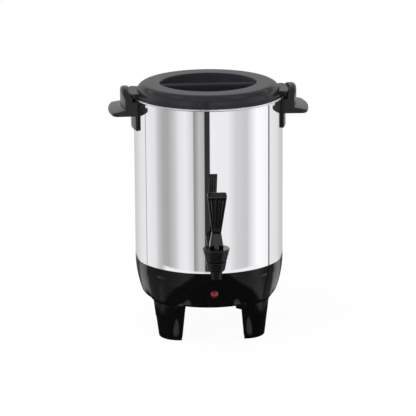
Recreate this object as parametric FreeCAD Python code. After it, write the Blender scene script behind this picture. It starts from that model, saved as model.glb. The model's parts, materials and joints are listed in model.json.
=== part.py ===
import FreeCAD
import Part
import math
import os

# Coffee urn: a bright can on a moulded base with four legs, a lift-off cover, a lever tap,
# and inside it a percolator pump with its basket, over heaters tied up by one centre stud.
# Millimetres, +Z up. The origin is on the floor under the can's axis, the tap points to -Y
# and the handles lie along X.

V = FreeCAD.Vector
UP = V(0, 0, 1)
DOWN = V(0, 0, -1)
FRONT = V(0, -1, 0)
BACK = V(0, 1, 0)
ACROSS = V(1, 0, 0)
HALF_RIGHT = math.sqrt(0.5)

# Clearances
SEAT_GAP = 0.3        # between seated pieces
SLIDE_GAP = 0.6       # between lift-out pieces and their guides
PIN_GAP = 0.05        # radial, pins and spindles in their holes
SCREW_GAP = 0.05      # radial, screws in their holes
TOUCH = 0.1           # between a lead's end and its terminal

# Can
CAN_R = 105.0
CAN_WALL = 0.9
RIM_Z = 340.0         # top of the rolled rim
BEAD_R = 1.5
SEAM_Z = 105.0        # where the can meets the base
FLOOR_RISE = 9.5      # inside of the can's floor above the seam
FLOOR_THICK = 1.2
FLOOR_CORNER = 5.0
WELL_R = 31.0
WELL_DEPTH = 12.0
WELL_SLOPE = 4.0

# Base housing
BASE_WALL = 2.8
BOWL_MID_INSET = 2.6  # from the can's side
BOWL_MID_DROP = 25.0  # below the seam
BOWL_LOW_INSET = 11.0
BOWL_Z = 51.7         # underside of the bowl
BOWL_ROUND = 9.0
COLLAR_HEIGHT = 5.5
COLLAR_WALL = 2.2
COLLAR_ROOT = 8.0
LEG_COUNT = 4
LEG_WALL = 3.0
LEG_FOOT_R = 29.5     # round of the leg's outer face at the floor
LEG_FOOT_INSET = 40.5 # where that round is centred, in from the can's side
LEG_HEAD_R = 46.8
LEG_HEAD_INSET = 51.1
LEG_HEAD_Z = 75.0
SOLE_THICK = 3.0
LEG_BLEND = 12.0      # round between a leg's face and the bowl

# Bottom plate and centre tie
PLATE_INSET = 27.0
PLATE_THICK = 1.2
PLATE_LEDGE = 7.0
VENT_COUNT = 8
VENT_AT = 48.0
VENT_LENGTH = 20.0
VENT_WIDTH = 4.0
STUD_R = 2.5
STUD_END = 6.0        # below the plate
NUT_FLAT_R = 4.6
NUT_THICK = 4.0

# Heaters
HEATER_TUBE_R = 3.2
PUMP_HEATER_R = 42.0
WARM_HEATER_R = 60.0
HEATER_GAP_DEG = 30.0
HEATER_TOWARDS = -90.0  # bearing of the side away from the terminals
TERMINAL_R = 1.5
TERMINAL_LENGTH = 16.0
CLAMP_THICK = 1.2
CLAMP_IN_R = 38.0
CLAMP_OUT_R = 66.0
CLAMP_HUB_R = 27.0
CLAMP_HUB_DROP = 2.0  # hub's top under the well's underside
THERMOSTAT_R = 9.0
THERMOSTAT_HEIGHT = 8.0
THERMOSTAT_AT = (72.0, 26.0)
THERMOSTAT_TAB = 6.0
FUSE_R = 2.0
FUSE_LENGTH = 12.0
FUSE_SLEEVE = 0.8
FUSE_AT = (-40.0, 70.0)
FUSE_WIRE_R = 0.6
FUSE_WIRE = 4.0
LEAD_R = 1.2
LEAD_STRAIGHT = 14.0  # from an inlet pin before the first turn
LEAD_HANG = 5.5       # above the inlet's level, where a lead turns up to its terminal
LEAD_TO_TAB = (40.0, 50.0)
LEAD_TO_PUMP = (42.0, 28.0)
LEAD_PAST_FUSE = 8.0
LAMP_LEAD_FAR = (14.0, 8.0)
LAMP_LEAD_NEAR = (14.0, -40.0)
LAMP_LEAD_STRAIGHT = 8.0
LAMP_LEAD_RISE = 4.0

# Pilot light
LENS_R = 5.3
LENS_Z = 75.8
LENS_BARREL_R = 4.6
LENS_BARREL_LENGTH = 10.0
LENS_FLANGE = 1.2
LENS_DOME = 3.2
LAMP_R = 2.6
LAMP_LENGTH = 16.0
LAMP_IN_LENS = 8.0
LAMP_GAP = 0.1
LENS_SEAT = 0.1       # under the flange
LAMP_LEAD_AT = 1.5
CLIP_R = 8.0
CLIP_THICK = 0.8

# Appliance inlet
INLET_Z = 77.0
INLET_HALF_WIDTH = 17.0
INLET_HALF_HEIGHT = 10.0
INLET_WALL = 2.2
INLET_PROUD = 6.1     # of the bowl's face
INLET_DEPTH = 21.0
FLANGE_RISE = 2.0     # of the flange beyond the block, up and down
FLANGE_THICK = 2.5
INLET_PIN_R = 2.4
INLET_PIN_HALF_PITCH = 9.5
INLET_PIN_LENGTH = 14.0
INLET_PIN_TAIL = 7.0
INLET_TAIL_R = 1.8
INLET_TIP_ROUND = 0.96
INLET_SCREW_R = 1.5
INLET_SCREW_AT = 22.0
INLET_BOSS_R = 3.8
INLET_CORNER = 3.0
INLET_FLOOR = 3.0
INLET_HEAD_R = 2.7
INLET_HEAD = 2.2
INLET_SCREW_BITE = 5.0

# Cover
COVER_RISE = 16.0     # plateau above the rim
COVER_WALL = 2.4
COVER_SIDE_INSET = 4.4
COVER_FLAT_INSET = 13.6  # from the cover's side
COVER_SIDE_RISE = 4.5
BRIM_INSET = 0.2
BRIM_THICK = 2.4
SKIRT_DEPTH = 8.0
SKIRT_WALL = 1.8
RECESS_HALF_LENGTH = 68.5
RECESS_HALF_WIDTH = 62.5
RECESS_DEPTH = 14.5
RECESS_DRAFT = 4.0
RECESS_ROUND = 1.2
BAR_HALF_WIDTH = 6.5
BAR_SPREAD = 1.35     # bar's ends, as a share of its waist
BAR_SINK = 2.4        # bar's top below the plateau
BAR_ROUND = 2.5
LUG_REACH = 8.8       # outside the can
LUG_HALF_DEG = 15.0
LUG_RISE = 6.5
LUG_ROUND = 4.0

# Handles
HANDLE_HALF_DEG = 18.0
POCKET_GAP = 0.8
TOWER_THICK = 9.4
TOWER_RISE = 12.0
TOWER_CROWN_R = 75.0
POCKET_DROP = 4.0
WING_REACH = 17.0     # beyond the tower
WING_ROOT_DROP = 15.0
WING_TIP_DROP = 18.0
WING_UNDER_DROP = 24.0
WING_UNDER_TIP_DROP = 22.5
WING_CORNER = 8.0
WING_ROUND = 2.0      # along the wing's outer edges
TAIL_THICK = 4.0
TAIL_DROP = 45.0
TAIL_CHAMFER = 3.0
TOWER_ROUND = 5.0
BRACKET_THICK = 1.2
BRACKET_HALF_DEG = 4.5
BRACKET_FOOT_DROP = 38.0
BRACKET_TAB_DROP = 12.0
BRACKET_REACH = 15.0
HANDLE_SCREW_R = 1.9
HANDLE_SCREW_OUT = 10.5
HANDLE_SCREW_HEAD_R = 3.6
HANDLE_SCREW_HEAD = 2.4
HANDLE_HEAD_SINK = 3.5

# Tap
TAP_REACH = 36.0      # tap's axis, from the can's side
BONNET_TOP_Z = 153.3
BONNET_TOP_R = 18.7
BONNET_LOW_R = 14.4
BONNET_HEIGHT = 18.2
BONNET_CROWN = 3.0    # thickness of its top
BONNET_BEVEL = 0.9
NECK_R = 10.4
NECK_HEIGHT = 11.0
BARREL_LOW_R = 11.8
BARREL_HEIGHT = 14.3
BARREL_ROUND = 1.6
SPOUT_TOP_R = 8.5
SPOUT_LOW_R = 7.0
SPOUT_LENGTH = 11.6
SPOUT_BORE_R = 5.0
BONNET_SEAM = 0.4     # open joint under the bonnet
CHAMBER_R = 8.6
SEAT_Z = 123.0
SHANK_R = 6.6
SHANK_BORE_R = 4.0
SHANK_Z = 128.0
SHANK_INSIDE = 13.0   # reach inside the can's wall
SHANK_FLANGE_R = 11.0
SHANK_FLANGE_THICK = 3.0
GASKET_R = 11.5
GASKET_THICK = 2.5
INNER_GASKET_R = 9.0   # small enough to stay above the bend at the can's floor
FAUCET_NUT_R = 9.0
FAUCET_NUT_THICK = 6.0

# Lever, spindle and spring
LEVER_LEAN = 15.0
LEVER_TURN = 65.0
STEM_LIFT = 4.0
STEM_R = 3.0
EYE_R = 4.4
EYE_HALF_THICK = 3.0
HINGE_PIN_R = 1.6
CAM_R = 7.0
CAM_GAP = 0.12
LEVER_TOP_HALF_WIDTH = 13.0
LEVER_TOP_HALF_DEPTH = 6.5
LEVER_NECK_HALF_WIDTH = 5.7
LEVER_NECK_HALF_DEPTH = 5.0
LEVER_NECK_AT = 19.5
LEVER_FOOT_HALF_WIDTH = 9.6
LEVER_FOOT_HALF_DEPTH = 6.0
LEVER_FOOT_AT = 3.0
LEVER_END = 79.0      # top of the lever from its pin
LEVER_CORNER = 2.4
LEVER_FLARE_COUNT = 6
LEVER_SLOT = 0.35     # each side of the spindle's eye
GROOVE_R = 1.5
GROOVE_TIP_R = 0.4
GROOVE_SPREAD = (-0.62, 0.0, 0.62)
GROOVE_MARGIN = 5.0
HINGE_PIN_HALF = 9.0
CUP_R = 7.2
CUP_HEIGHT = 7.0
CUP_SOLE = 2.5
CUP_BEVEL = 1.0
BULB_R = 4.2
BULB_HEIGHT = 1.5
SPRING_R = 5.2
SPRING_WIRE_R = 0.5
SPRING_TURN_COUNT = 5

# Percolator
PUMP_R = 6.5
PUMP_WALL = 0.8
PUMP_TOP_Z = 322.0
BELL_R = 24.5
BELL_HEIGHT = 12.0
BELL_WALL = 0.9
BELL_NOTCH_COUNT = 4
BELL_NOTCH_R = 2.6
COLLAR_R = 10.0
COLLAR_THICK = 2.0
BASKET_R = 62.0
BASKET_Z = 258.0
BASKET_HEIGHT = 56.0
BASKET_WALL = 0.8
BASKET_HUB_WALL = 0.9
BASKET_HUB_HEIGHT = 52.0
BASKET_RIM_R = 1.2
DRIP_R = 1.5
BASKET_DRIP_AT = (20.0, 34.0, 48.0)
BASKET_DRIP_COUNT = (8, 12, 16)
SPREADER_DRIP_AT = (22.0, 40.0)
SPREADER_DRIP_COUNT = (6, 10)
SPREADER_RISE = 3.0
WASHER_R = 13.5
WASHER_THICK = 1.2
BELL_FLAT_R = 15.0
BELL_BRIM = 3.0
INTAKE_COUNT = 6
INTAKE_R = 1.8
INTAKE_AT = 10.2
SPREADER_LIP = 4.0
SPREADER_CROWN_R = 14.0

# Places worked out from the values above
FLOOR_Z = SEAM_Z + FLOOR_RISE
UNDER_FLOOR_Z = FLOOR_Z - FLOOR_THICK
WELL_Z = FLOOR_Z - WELL_DEPTH
UNDER_WELL_Z = WELL_Z - FLOOR_THICK
CAN_IN_R = CAN_R - CAN_WALL
BOWL_MID_R = CAN_R - BOWL_MID_INSET
BOWL_LOW_R = CAN_R - BOWL_LOW_INSET
LEG_FOOT_AT = CAN_R - LEG_FOOT_INSET
LEG_HEAD_AT = CAN_R - LEG_HEAD_INSET
PLATE_R = CAN_R - PLATE_INSET
COVER_SIDE_R = CAN_R - COVER_SIDE_INSET
COVER_FLAT_R = COVER_SIDE_R - COVER_FLAT_INSET
BRIM_R = CAN_R - BRIM_INSET
LUG_R = CAN_R + LUG_REACH
POCKET_R = LUG_R + POCKET_GAP
TOWER_R = POCKET_R + TOWER_THICK
WING_R = TOWER_R + WING_REACH
TAIL_R = CAN_R + TAIL_THICK
BRACKET_TAB_R = CAN_R + BRACKET_REACH
HANDLE_SCREW_AT = CAN_R + HANDLE_SCREW_OUT
TAP_Y = CAN_R + TAP_REACH
COVER_Z = RIM_Z + SEAT_GAP
HANDLE_IN_R = CAN_R + SEAT_GAP
BRACKET_FOOT_R = CAN_R + TOUCH
BELL_Z = WELL_Z + SEAT_GAP
BELL_ROOF_Z = BELL_Z + BELL_HEIGHT
BASKET_RIM_Z = BASKET_Z + BASKET_HEIGHT
PLATE_Z = BOWL_Z
TERMINAL_DEG = 176 - HEATER_GAP_DEG / 2
CLAMP_Z = UNDER_FLOOR_Z - SEAT_GAP - 2 * HEATER_TUBE_R - CLAMP_THICK
CLAMP_HUB_Z = UNDER_WELL_Z - CLAMP_HUB_DROP - CLAMP_THICK
TAP = V(0, -TAP_Y, 0)
CAM_OFFSET = STEM_LIFT / (2 * math.sin(math.radians(LEVER_TURN / 2)))
HINGE_Z = BONNET_TOP_Z + CAM_GAP + CAM_R - STEM_LIFT / 2


def outline(path, place):
    """Closed wire: a pair is a corner, four numbers are an arc's middle and its end."""
    edges = []
    here = place(*path[0][-2:])
    for step in path[1:] + [path[0]]:
        end = place(*step[-2:])
        if len(step) == 4:
            edges.append(Part.Arc(here, place(*step[:2]), end).toShape())
        elif here.distanceToPoint(end) > 1e-6:
            edges.append(Part.makeLine(here, end))
        here = end
    return Part.Wire(edges)


def turned(path, centre=V(0, 0, 0), half_deg=180.0, towards=0.0):
    """Solid of revolution of an (r, z) outline, whole or half_deg each side of a bearing."""
    face = Part.Face(outline(path, lambda r, z: V(r, 0, z)))
    solid = face.revolve(V(0, 0, 0), UP, 2 * half_deg)
    solid.rotate(V(0, 0, 0), UP, towards - (half_deg if half_deg < 180 else 0))
    solid.translate(centre)
    return solid


def rod(radius, start, end):
    """Round bar between two points."""
    run = end - start
    return Part.makeCylinder(radius, run.Length, start, run)


def block(low, high):
    """Upright box between two corners."""
    return Part.makeBox(high[0] - low[0], high[1] - low[1], high[2] - low[2], V(*low))


def joined(*pieces):
    """Pieces of one solid, fused."""
    return pieces[0].multiFuse(list(pieces[1:]))


def about_axis(piece, count, first=0.0):
    """Copies of a piece, evenly spaced about the can's axis."""
    copies = []
    for i in range(count):
        copy = piece.copy()
        copy.rotate(V(0, 0, 0), UP, first + i * 360.0 / count)
        copies.append(copy)
    return copies


def rounded(solid, radius, chosen):
    """Fillet on the edges that the test chosen picks."""
    edges = [e for e in solid.Edges if chosen(e)]
    return solid.makeFillet(radius, edges)


def edge_box(edge):
    """Bounds of an edge, for picking it by place."""
    return edge.BoundBox


def hexagon(across_r, low, high, centre):
    """Six-sided prism along Z, by the radius of the circle inside it."""
    corner = across_r / math.cos(math.radians(30))
    angles = [math.radians(60 * i) for i in range(6)]
    path = [(corner * math.cos(a), corner * math.sin(a)) for a in angles]
    face = Part.Face(outline(path, lambda x, y: V(x, y, low) + centre))
    return face.extrude(V(0, 0, high - low))


def save(name, *solids):
    """Write one node, and say how large it is."""
    shape = solids[0] if len(solids) == 1 else Part.makeCompound(list(solids))
    shape = shape.Solids[0] if len(shape.Solids) == 1 else Part.makeCompound(shape.Solids)
    shape.exportStep("parts/" + name + ".step")
    state = "ok" if shape.isValid() else "NOT VALID"
    print(name, len(shape.Solids), "solids", round(shape.Volume), "mm3", state)


def tap_section(path):
    """Solid of revolution about the tap's axis."""
    return turned(path, TAP)


def urn_body():
    """Drawn can: wall with a rolled rim, floor with the heater well, and the tap's hole."""
    wall = turned([
        (CAN_IN_R, SEAM_Z + SEAT_GAP),
        (CAN_R, SEAM_Z + SEAT_GAP),
        (CAN_R, RIM_Z - BEAD_R),
        (CAN_IN_R, RIM_Z - BEAD_R),
    ])
    bead = Part.makeTorus(CAN_R + BEAD_R - CAN_WALL, BEAD_R, V(0, 0, RIM_Z - BEAD_R), UP)
    bend = FLOOR_CORNER * (1 - HALF_RIGHT)
    out_bend = (FLOOR_CORNER + FLOOR_THICK) * (1 - HALF_RIGHT)
    overlap_r = CAN_IN_R + CAN_WALL / 2
    floor = turned([
        (0, UNDER_WELL_Z),
        (WELL_R - WELL_SLOPE, UNDER_WELL_Z),
        (WELL_R + FLOOR_THICK, UNDER_FLOOR_Z),
        (CAN_IN_R - FLOOR_CORNER, UNDER_FLOOR_Z),
        (overlap_r - out_bend, UNDER_FLOOR_Z + out_bend, overlap_r, FLOOR_Z + FLOOR_CORNER),
        (CAN_IN_R, FLOOR_Z + FLOOR_CORNER),
        (CAN_IN_R - bend, FLOOR_Z + bend, CAN_IN_R - FLOOR_CORNER, FLOOR_Z),
        (WELL_R, FLOOR_Z),
        (WELL_R - WELL_SLOPE - FLOOR_THICK, WELL_Z),
        (0, WELL_Z),
    ])
    can = joined(wall, bead, floor)
    tap_hole = rod(SHANK_R + SEAT_GAP, V(0, 0, SHANK_Z), V(0, -CAN_R - 5, SHANK_Z))
    return can.cut(tap_hole)


def bowl_side():
    """The arc that the bowl's side is turned from, with its centre and radius."""
    arc = Part.Arc(V(BOWL_LOW_R, 0, BOWL_Z), V(BOWL_MID_R, 0, SEAM_Z - BOWL_MID_DROP), V(CAN_R, 0, SEAM_Z))
    return arc.toShape().Curve


def bowl_r(z, inset=0.0):
    """Radius of the bowl's side at a height, drawn in square to the outside by inset."""
    side = bowl_side()
    return side.Center.x + math.sqrt((side.Radius - inset) ** 2 - (z - side.Center.z) ** 2)


def bowl(inset, top_z):
    """Full round form of the base, drawn in from the outside by inset."""
    low = BOWL_Z + inset
    mid = SEAM_Z - BOWL_MID_DROP
    form = turned([
        (0, low),
        (bowl_r(low, inset), low),
        (bowl_r(mid, inset), mid, bowl_r(SEAM_Z, inset), SEAM_Z),
        (bowl_r(SEAM_Z, inset), top_z),
        (0, top_z),
    ])
    return rounded(form, BOWL_ROUND - inset, lambda e: edge_box(e).ZMax < low + 0.01 and e.Length > 10)


def lens_tilt():
    """Angle by which the bowl's face at the lens looks down, in degrees."""
    side = bowl_side()
    return math.degrees(math.asin((side.Center.z - LENS_Z) / side.Radius))


def at_lens(solid):
    """Carry a solid made round the Z axis to the lens, with +Z along the face's normal."""
    solid.rotate(V(0, 0, 0), ACROSS, 90 + lens_tilt())
    solid.translate(V(0, -bowl_r(LENS_Z), LENS_Z))
    return solid


def lens_point(x, out):
    """Point beside the lens's axis, by its distance outside the bowl's face."""
    return at_lens(Part.Vertex(V(x, 0, out))).Point


def leg_form(shrink, foot_z):
    """Slanting cone that gives one leg its round face, along +X."""
    share = foot_z / LEG_HEAD_Z
    foot_at = LEG_FOOT_AT + share * (LEG_HEAD_AT - LEG_FOOT_AT)
    foot_r = LEG_FOOT_R + share * (LEG_HEAD_R - LEG_FOOT_R) - shrink
    foot = Part.makeCircle(foot_r, V(foot_at, 0, foot_z), UP)
    head = Part.makeCircle(LEG_HEAD_R - shrink, V(LEG_HEAD_AT, 0, LEG_HEAD_Z), UP)
    return Part.makeLoft([Part.Wire(foot), Part.Wire(head)], True, True)


def leg_wedge():
    """Quarter turn each leg's round keeps, cut off straight behind it."""
    wires = []
    for at, radius, z in ((LEG_FOOT_AT, LEG_FOOT_R, 0), (LEG_HEAD_AT, LEG_HEAD_R, LEG_HEAD_Z)):
        near = (radius - LEG_WALL) * HALF_RIGHT - 1
        far = 1.2 * radius
        path = [(at + near, -near), (at + near, near), (at + far, far), (at + far, -far)]
        wires.append(outline(path, lambda x, y, z=z: V(x, y, z)))
    return Part.makeLoft(wires, True, True)


def is_leg_crease(edge):
    """Whether an edge is one of those where a leg's round face comes out of the bowl."""
    box = edge_box(edge)
    slanting = box.ZLength > BASE_WALL and edge.Length < LEG_HEAD_R
    return slanting and box.ZMin > BOWL_Z + TOUCH and box.ZMax < SEAM_Z - 2 * COLLAR_ROOT


def base_housing():
    """Moulded bowl with a collar for the can, four gutter-shaped legs and its openings."""
    outside = bowl(0, SEAM_Z)
    inside = bowl(BASE_WALL, SEAM_Z + 1)
    collar_r = CAN_IN_R - SEAT_GAP
    collar = turned([
        (collar_r - COLLAR_WALL, SEAM_Z - COLLAR_ROOT),
        (collar_r, SEAM_Z - COLLAR_ROOT),
        (collar_r, SEAM_Z + COLLAR_HEIGHT),
        (collar_r - COLLAR_WALL, SEAM_Z + COLLAR_HEIGHT),
    ])
    leg = leg_form(0, 0).common(leg_wedge())
    hollow = leg_form(LEG_WALL, SOLE_THICK).cut(outside)
    half_pitch = 180.0 / LEG_COUNT
    form = joined(outside, *about_axis(leg, LEG_COUNT, half_pitch))
    form = rounded(form, LEG_BLEND, is_leg_crease)
    for gutter in about_axis(hollow, LEG_COUNT, half_pitch):
        form = form.cut(gutter)
    housing = joined(form.cut(inside), collar)
    ledge = Part.makeCylinder(PLATE_R + SEAT_GAP, PLATE_THICK + SEAT_GAP, V(0, 0, BOWL_Z), UP)
    mouth = Part.makeCylinder(PLATE_R - PLATE_LEDGE, BASE_WALL * 2, V(0, 0, BOWL_Z - 1), UP)
    lens_hole = at_lens(rod(LENS_BARREL_R + SEAT_GAP, V(0, 0, -10), V(0, 0, 10)))
    housing = housing.cut(ledge).cut(mouth).cut(lens_hole)
    boss_face = inlet_face_y()
    for side in (-1, 1):
        x = side * INLET_SCREW_AT
        boss = rod(INLET_BOSS_R, V(x, boss_face, INLET_Z), V(x, 2 * CAN_R, INLET_Z))
        housing = joined(housing, boss.common(outside))
        housing = housing.cut(rod(INLET_SCREW_R + SCREW_GAP, V(x, boss_face - 1, INLET_Z),
                                  V(x, boss_face + INLET_SCREW_BITE + 1, INLET_Z)))
    inlet_hole = inlet_block(-SEAT_GAP, boss_face - 5, 2 * CAN_R)
    return housing.cut(inlet_hole)


def bottom_plate():
    """Steel disc under the base, with vents round the centre hole."""
    plate = Part.makeCylinder(PLATE_R, PLATE_THICK, V(0, 0, PLATE_Z), UP)
    plate = plate.cut(Part.makeCylinder(STUD_R + SEAT_GAP, 10, V(0, 0, PLATE_Z - 5), UP))
    half = VENT_LENGTH / 2
    vent = block((VENT_AT - half, -VENT_WIDTH / 2, PLATE_Z - 1),
                 (VENT_AT + half, VENT_WIDTH / 2, PLATE_Z + 3))
    vent = rounded(vent, VENT_WIDTH / 2 - 0.1, lambda e: edge_box(e).ZLength > 3)
    for copy in about_axis(vent, VENT_COUNT, 0):
        plate = plate.cut(copy)
    return plate


def centre_stud():
    """Threaded stud welded under the well."""
    foot = Part.makeCylinder(STUD_R * 2, 1.6, V(0, 0, UNDER_WELL_Z - 1.6), UP)
    shaft = rod(STUD_R, V(0, 0, PLATE_Z - STUD_END), V(0, 0, UNDER_WELL_Z - 1))
    return joined(foot, shaft)


def centre_nuts():
    """One nut under the clamp's hub and one under the bottom plate."""
    nuts = []
    for top in (CLAMP_HUB_Z, PLATE_Z):
        nut = hexagon(NUT_FLAT_R, top - NUT_THICK, top, V(0, 0, 0))
        nuts.append(nut.cut(rod(STUD_R + SCREW_GAP, V(0, 0, top - 10), V(0, 0, top + 10))))
    return nuts


def heater(ring_r, towards):
    """Sheathed ring pressed to the can's floor, with two terminals pointing down."""
    half = 180 - HEATER_GAP_DEG / 2
    z = UNDER_FLOOR_Z - SEAT_GAP / 2 - HEATER_TUBE_R
    section = Part.Face(Part.Wire(Part.makeCircle(HEATER_TUBE_R, V(ring_r, 0, z), BACK)))
    ring = section.revolve(V(0, 0, 0), UP, 2 * half)
    ring.rotate(V(0, 0, 0), UP, -half)
    pieces = [ring]
    for side in (-1, 1):
        a = math.radians(side * TERMINAL_DEG)
        top = V(ring_r * math.cos(a), ring_r * math.sin(a), z)
        pieces.append(rod(TERMINAL_R, top, top + DOWN * TERMINAL_LENGTH))
    whole = joined(*pieces)
    whole.rotate(V(0, 0, 0), UP, towards)
    return whole


def heater_clamp():
    """Dished steel plate that the upper nut pulls against both heaters."""
    low = CLAMP_HUB_Z
    path = [
        (STUD_R + SEAT_GAP, low),
        (CLAMP_HUB_R, low),
        (CLAMP_IN_R, CLAMP_Z),
        (CLAMP_OUT_R, CLAMP_Z),
        (CLAMP_OUT_R, CLAMP_Z + CLAMP_THICK),
        (CLAMP_IN_R - 1, CLAMP_Z + CLAMP_THICK),
        (CLAMP_HUB_R - 1, low + CLAMP_THICK),
        (STUD_R + SEAT_GAP, low + CLAMP_THICK),
    ]
    clamp = turned(path)
    for ring_r in (PUMP_HEATER_R, WARM_HEATER_R):
        for side in (-1, 1):
            a = math.radians(HEATER_TOWARDS + side * TERMINAL_DEG)
            at = V(ring_r * math.cos(a), ring_r * math.sin(a), 0)
            clamp = clamp.cut(rod(TERMINAL_R * 2, at + UP * (CLAMP_Z - 3), at + UP * (CLAMP_Z + 3)))
    return clamp


def terminal_tip(ring_r, side):
    """Lower end of a heater's terminal."""
    a = math.radians(HEATER_TOWARDS + side * TERMINAL_DEG)
    z = UNDER_FLOOR_Z - SEAT_GAP / 2 - HEATER_TUBE_R - TERMINAL_LENGTH
    return V(ring_r * math.cos(a), ring_r * math.sin(a), z)


def thermostat():
    """Disc thermostat against the can's floor, with two tabs pointing down."""
    x, y = THERMOSTAT_AT
    top = UNDER_FLOOR_Z - SEAT_GAP / 2
    body = Part.makeCylinder(THERMOSTAT_R, THERMOSTAT_HEIGHT, V(x, y, top - THERMOSTAT_HEIGHT), UP)
    tabs = []
    for side in (-1, 1):
        cx = x + side * 4
        low = top - THERMOSTAT_HEIGHT - THERMOSTAT_TAB
        tabs.append(block((cx - 0.4, y - 3, low), (cx + 0.4, y + 3, top - THERMOSTAT_HEIGHT + 1)))
    return joined(body, *tabs)


def thermostat_tab_tip(side):
    """Lower end of a thermostat tab."""
    x, y = THERMOSTAT_AT
    low = UNDER_FLOOR_Z - SEAT_GAP / 2 - THERMOSTAT_HEIGHT - THERMOSTAT_TAB
    return V(x + side * 4, y, low)


def thermal_fuse():
    """One-shot fuse in its glass sleeve, lying against the can's floor."""
    at = V(*FUSE_AT, fuse_z())
    half = FUSE_LENGTH / 2
    sleeve = rod(FUSE_R + FUSE_SLEEVE, at - ACROSS * half, at + ACROSS * half)
    wire = rod(FUSE_WIRE_R, at - ACROSS * (half + FUSE_WIRE), at + ACROSS * (half + FUSE_WIRE))
    return joined(sleeve, wire)


def fuse_z():
    """Height of the fuse's middle."""
    return UNDER_FLOOR_Z - SEAT_GAP / 2 - FUSE_R - FUSE_SLEEVE


def tube_along(points, radius):
    """Insulated lead along straight runs, with a round of its own at each turn."""
    edges = []
    here = points[0]
    for before, corner, after in zip(points, points[1:], points[2:]):
        back = (before - corner).normalize()
        on = (after - corner).normalize()
        turn = math.pi - back.getAngle(on)
        shorter = min((before - corner).Length, (after - corner).Length)
        cut_off = 0.45 * shorter
        start = corner + back * cut_off
        end = corner + on * cut_off
        bend_r = cut_off / math.tan(turn / 2)
        if bend_r < 4 * radius:
            print("lead bend is tight:", round(bend_r, 2), "mm at", corner)
        middle = (back + on).normalize()
        centre_far = math.hypot(bend_r, cut_off)
        mid = corner + middle * (centre_far - bend_r)
        edges.append(Part.makeLine(here, start))
        edges.append(Part.Arc(start, mid, end).toShape())
        here = end
    edges.append(Part.makeLine(here, points[-1]))
    path = Part.Wire(edges)
    run = points[1] - points[0]
    section = Part.Wire(Part.makeCircle(radius, points[0], run))
    return path.makePipeShell([section], True, False)


def internal_leads():
    """Leads from the inlet to the thermostat and heaters, and the lamp's pair."""
    tail_y = inlet_back_y() - INLET_PIN_TAIL - TOUCH
    right = INLET_PIN_HALF_PITCH
    level = INLET_Z
    out_tab = thermostat_tab_tip(1) + DOWN * TOUCH
    in_tab = thermostat_tab_tip(-1) + DOWN * TOUCH
    warm = terminal_tip(WARM_HEATER_R, -1) + DOWN * TOUCH
    pump = terminal_tip(PUMP_HEATER_R, 1) + DOWN * TOUCH
    reach = FUSE_LENGTH / 2 + FUSE_WIRE + TOUCH
    fuse = V(*FUSE_AT, fuse_z())
    near = fuse + ACROSS * reach
    far = fuse - ACROSS * reach
    turn_y = tail_y - LEAD_STRAIGHT
    hang = level + LEAD_HANG
    half_hang = level + LEAD_HANG / 2
    routes = [
        [V(right, tail_y, level), V(right, turn_y, level), V(*LEAD_TO_TAB, half_hang),
         V(out_tab.x, out_tab.y, hang), out_tab],
        [V(-right, tail_y, level), V(-right, turn_y, level), V(-right, turn_y, level + 3 * LEAD_HANG),
         V(near.x + LEAD_PAST_FUSE, near.y, near.z), near],
        [far, far - ACROSS * LEAD_STRAIGHT, V(far.x - LEAD_STRAIGHT, far.y, half_hang),
         V(warm.x, warm.y, hang), warm],
        [in_tab, V(in_tab.x, in_tab.y, hang), V(*LEAD_TO_PUMP, half_hang), V(pump.x, pump.y, hang), pump],
    ]
    tail = LAMP_IN_LENS - LENS_BARREL_LENGTH - LAMP_GAP - LAMP_LENGTH - TOUCH
    for side in (-1, 1):
        post = terminal_tip(WARM_HEATER_R, side)
        beside = V(post.x, post.y - TERMINAL_R - TOUCH, post.z + 3)
        x = side * LAMP_LEAD_AT
        near_x, near_y = LAMP_LEAD_NEAR
        far_x, far_y = LAMP_LEAD_FAR
        routes.append([
            lens_point(x, tail), lens_point(x, tail - LAMP_LEAD_STRAIGHT),
            V(side * near_x, near_y, LENS_Z + LAMP_LEAD_RISE / 2),
            V(side * far_x, far_y, LENS_Z + LAMP_LEAD_RISE),
            V(beside.x, beside.y - LEAD_STRAIGHT, beside.z), beside])
    return [tube_along(route, LEAD_R) for route in routes]


def pilot_lens():
    """Red jewel: domed head, flange, and a barrel that holds the lamp."""
    edge_z = LENS_SEAT + LENS_FLANGE
    round_r = (LENS_R ** 2 + LENS_DOME ** 2) / (2 * LENS_DOME)
    centre_z = edge_z + LENS_DOME - round_r
    half = math.asin(LENS_R / round_r) / 2
    lens = turned([
        (0, -LENS_BARREL_LENGTH),
        (LENS_BARREL_R, -LENS_BARREL_LENGTH),
        (LENS_BARREL_R, LENS_SEAT),
        (LENS_R, LENS_SEAT),
        (LENS_R, edge_z),
        (round_r * math.sin(half), centre_z + round_r * math.cos(half), 0, edge_z + LENS_DOME),
    ])
    bore_end = LAMP_IN_LENS - LENS_BARREL_LENGTH
    bore = rod(LAMP_R + LAMP_GAP, V(0, 0, -LENS_BARREL_LENGTH - 1), V(0, 0, bore_end))
    return at_lens(lens.cut(bore))


def pilot_lamp():
    """Neon lamp with a round nose, in the lens's barrel."""
    nose = LAMP_IN_LENS - LENS_BARREL_LENGTH - LAMP_GAP
    tail = nose - LAMP_LENGTH
    lamp = turned([
        (0, tail),
        (LAMP_R, tail),
        (LAMP_R, nose - LAMP_R),
        (LAMP_R * HALF_RIGHT, nose - LAMP_R * (1 - HALF_RIGHT), 0, nose),
    ])
    return at_lens(lamp)


def pilot_clip():
    """Push-on spring ring behind the housing's wall, clear of the wall's round."""
    sag = CLIP_R ** 2 / (2 * bowl_r(LENS_Z, BASE_WALL))
    low = -BASE_WALL - sag - SEAT_GAP - CLIP_THICK
    return at_lens(turned([
        (LENS_BARREL_R + SCREW_GAP, low),
        (CLIP_R, low),
        (CLIP_R, low + CLIP_THICK),
        (LENS_BARREL_R + SCREW_GAP, low + CLIP_THICK),
    ]))


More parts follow.
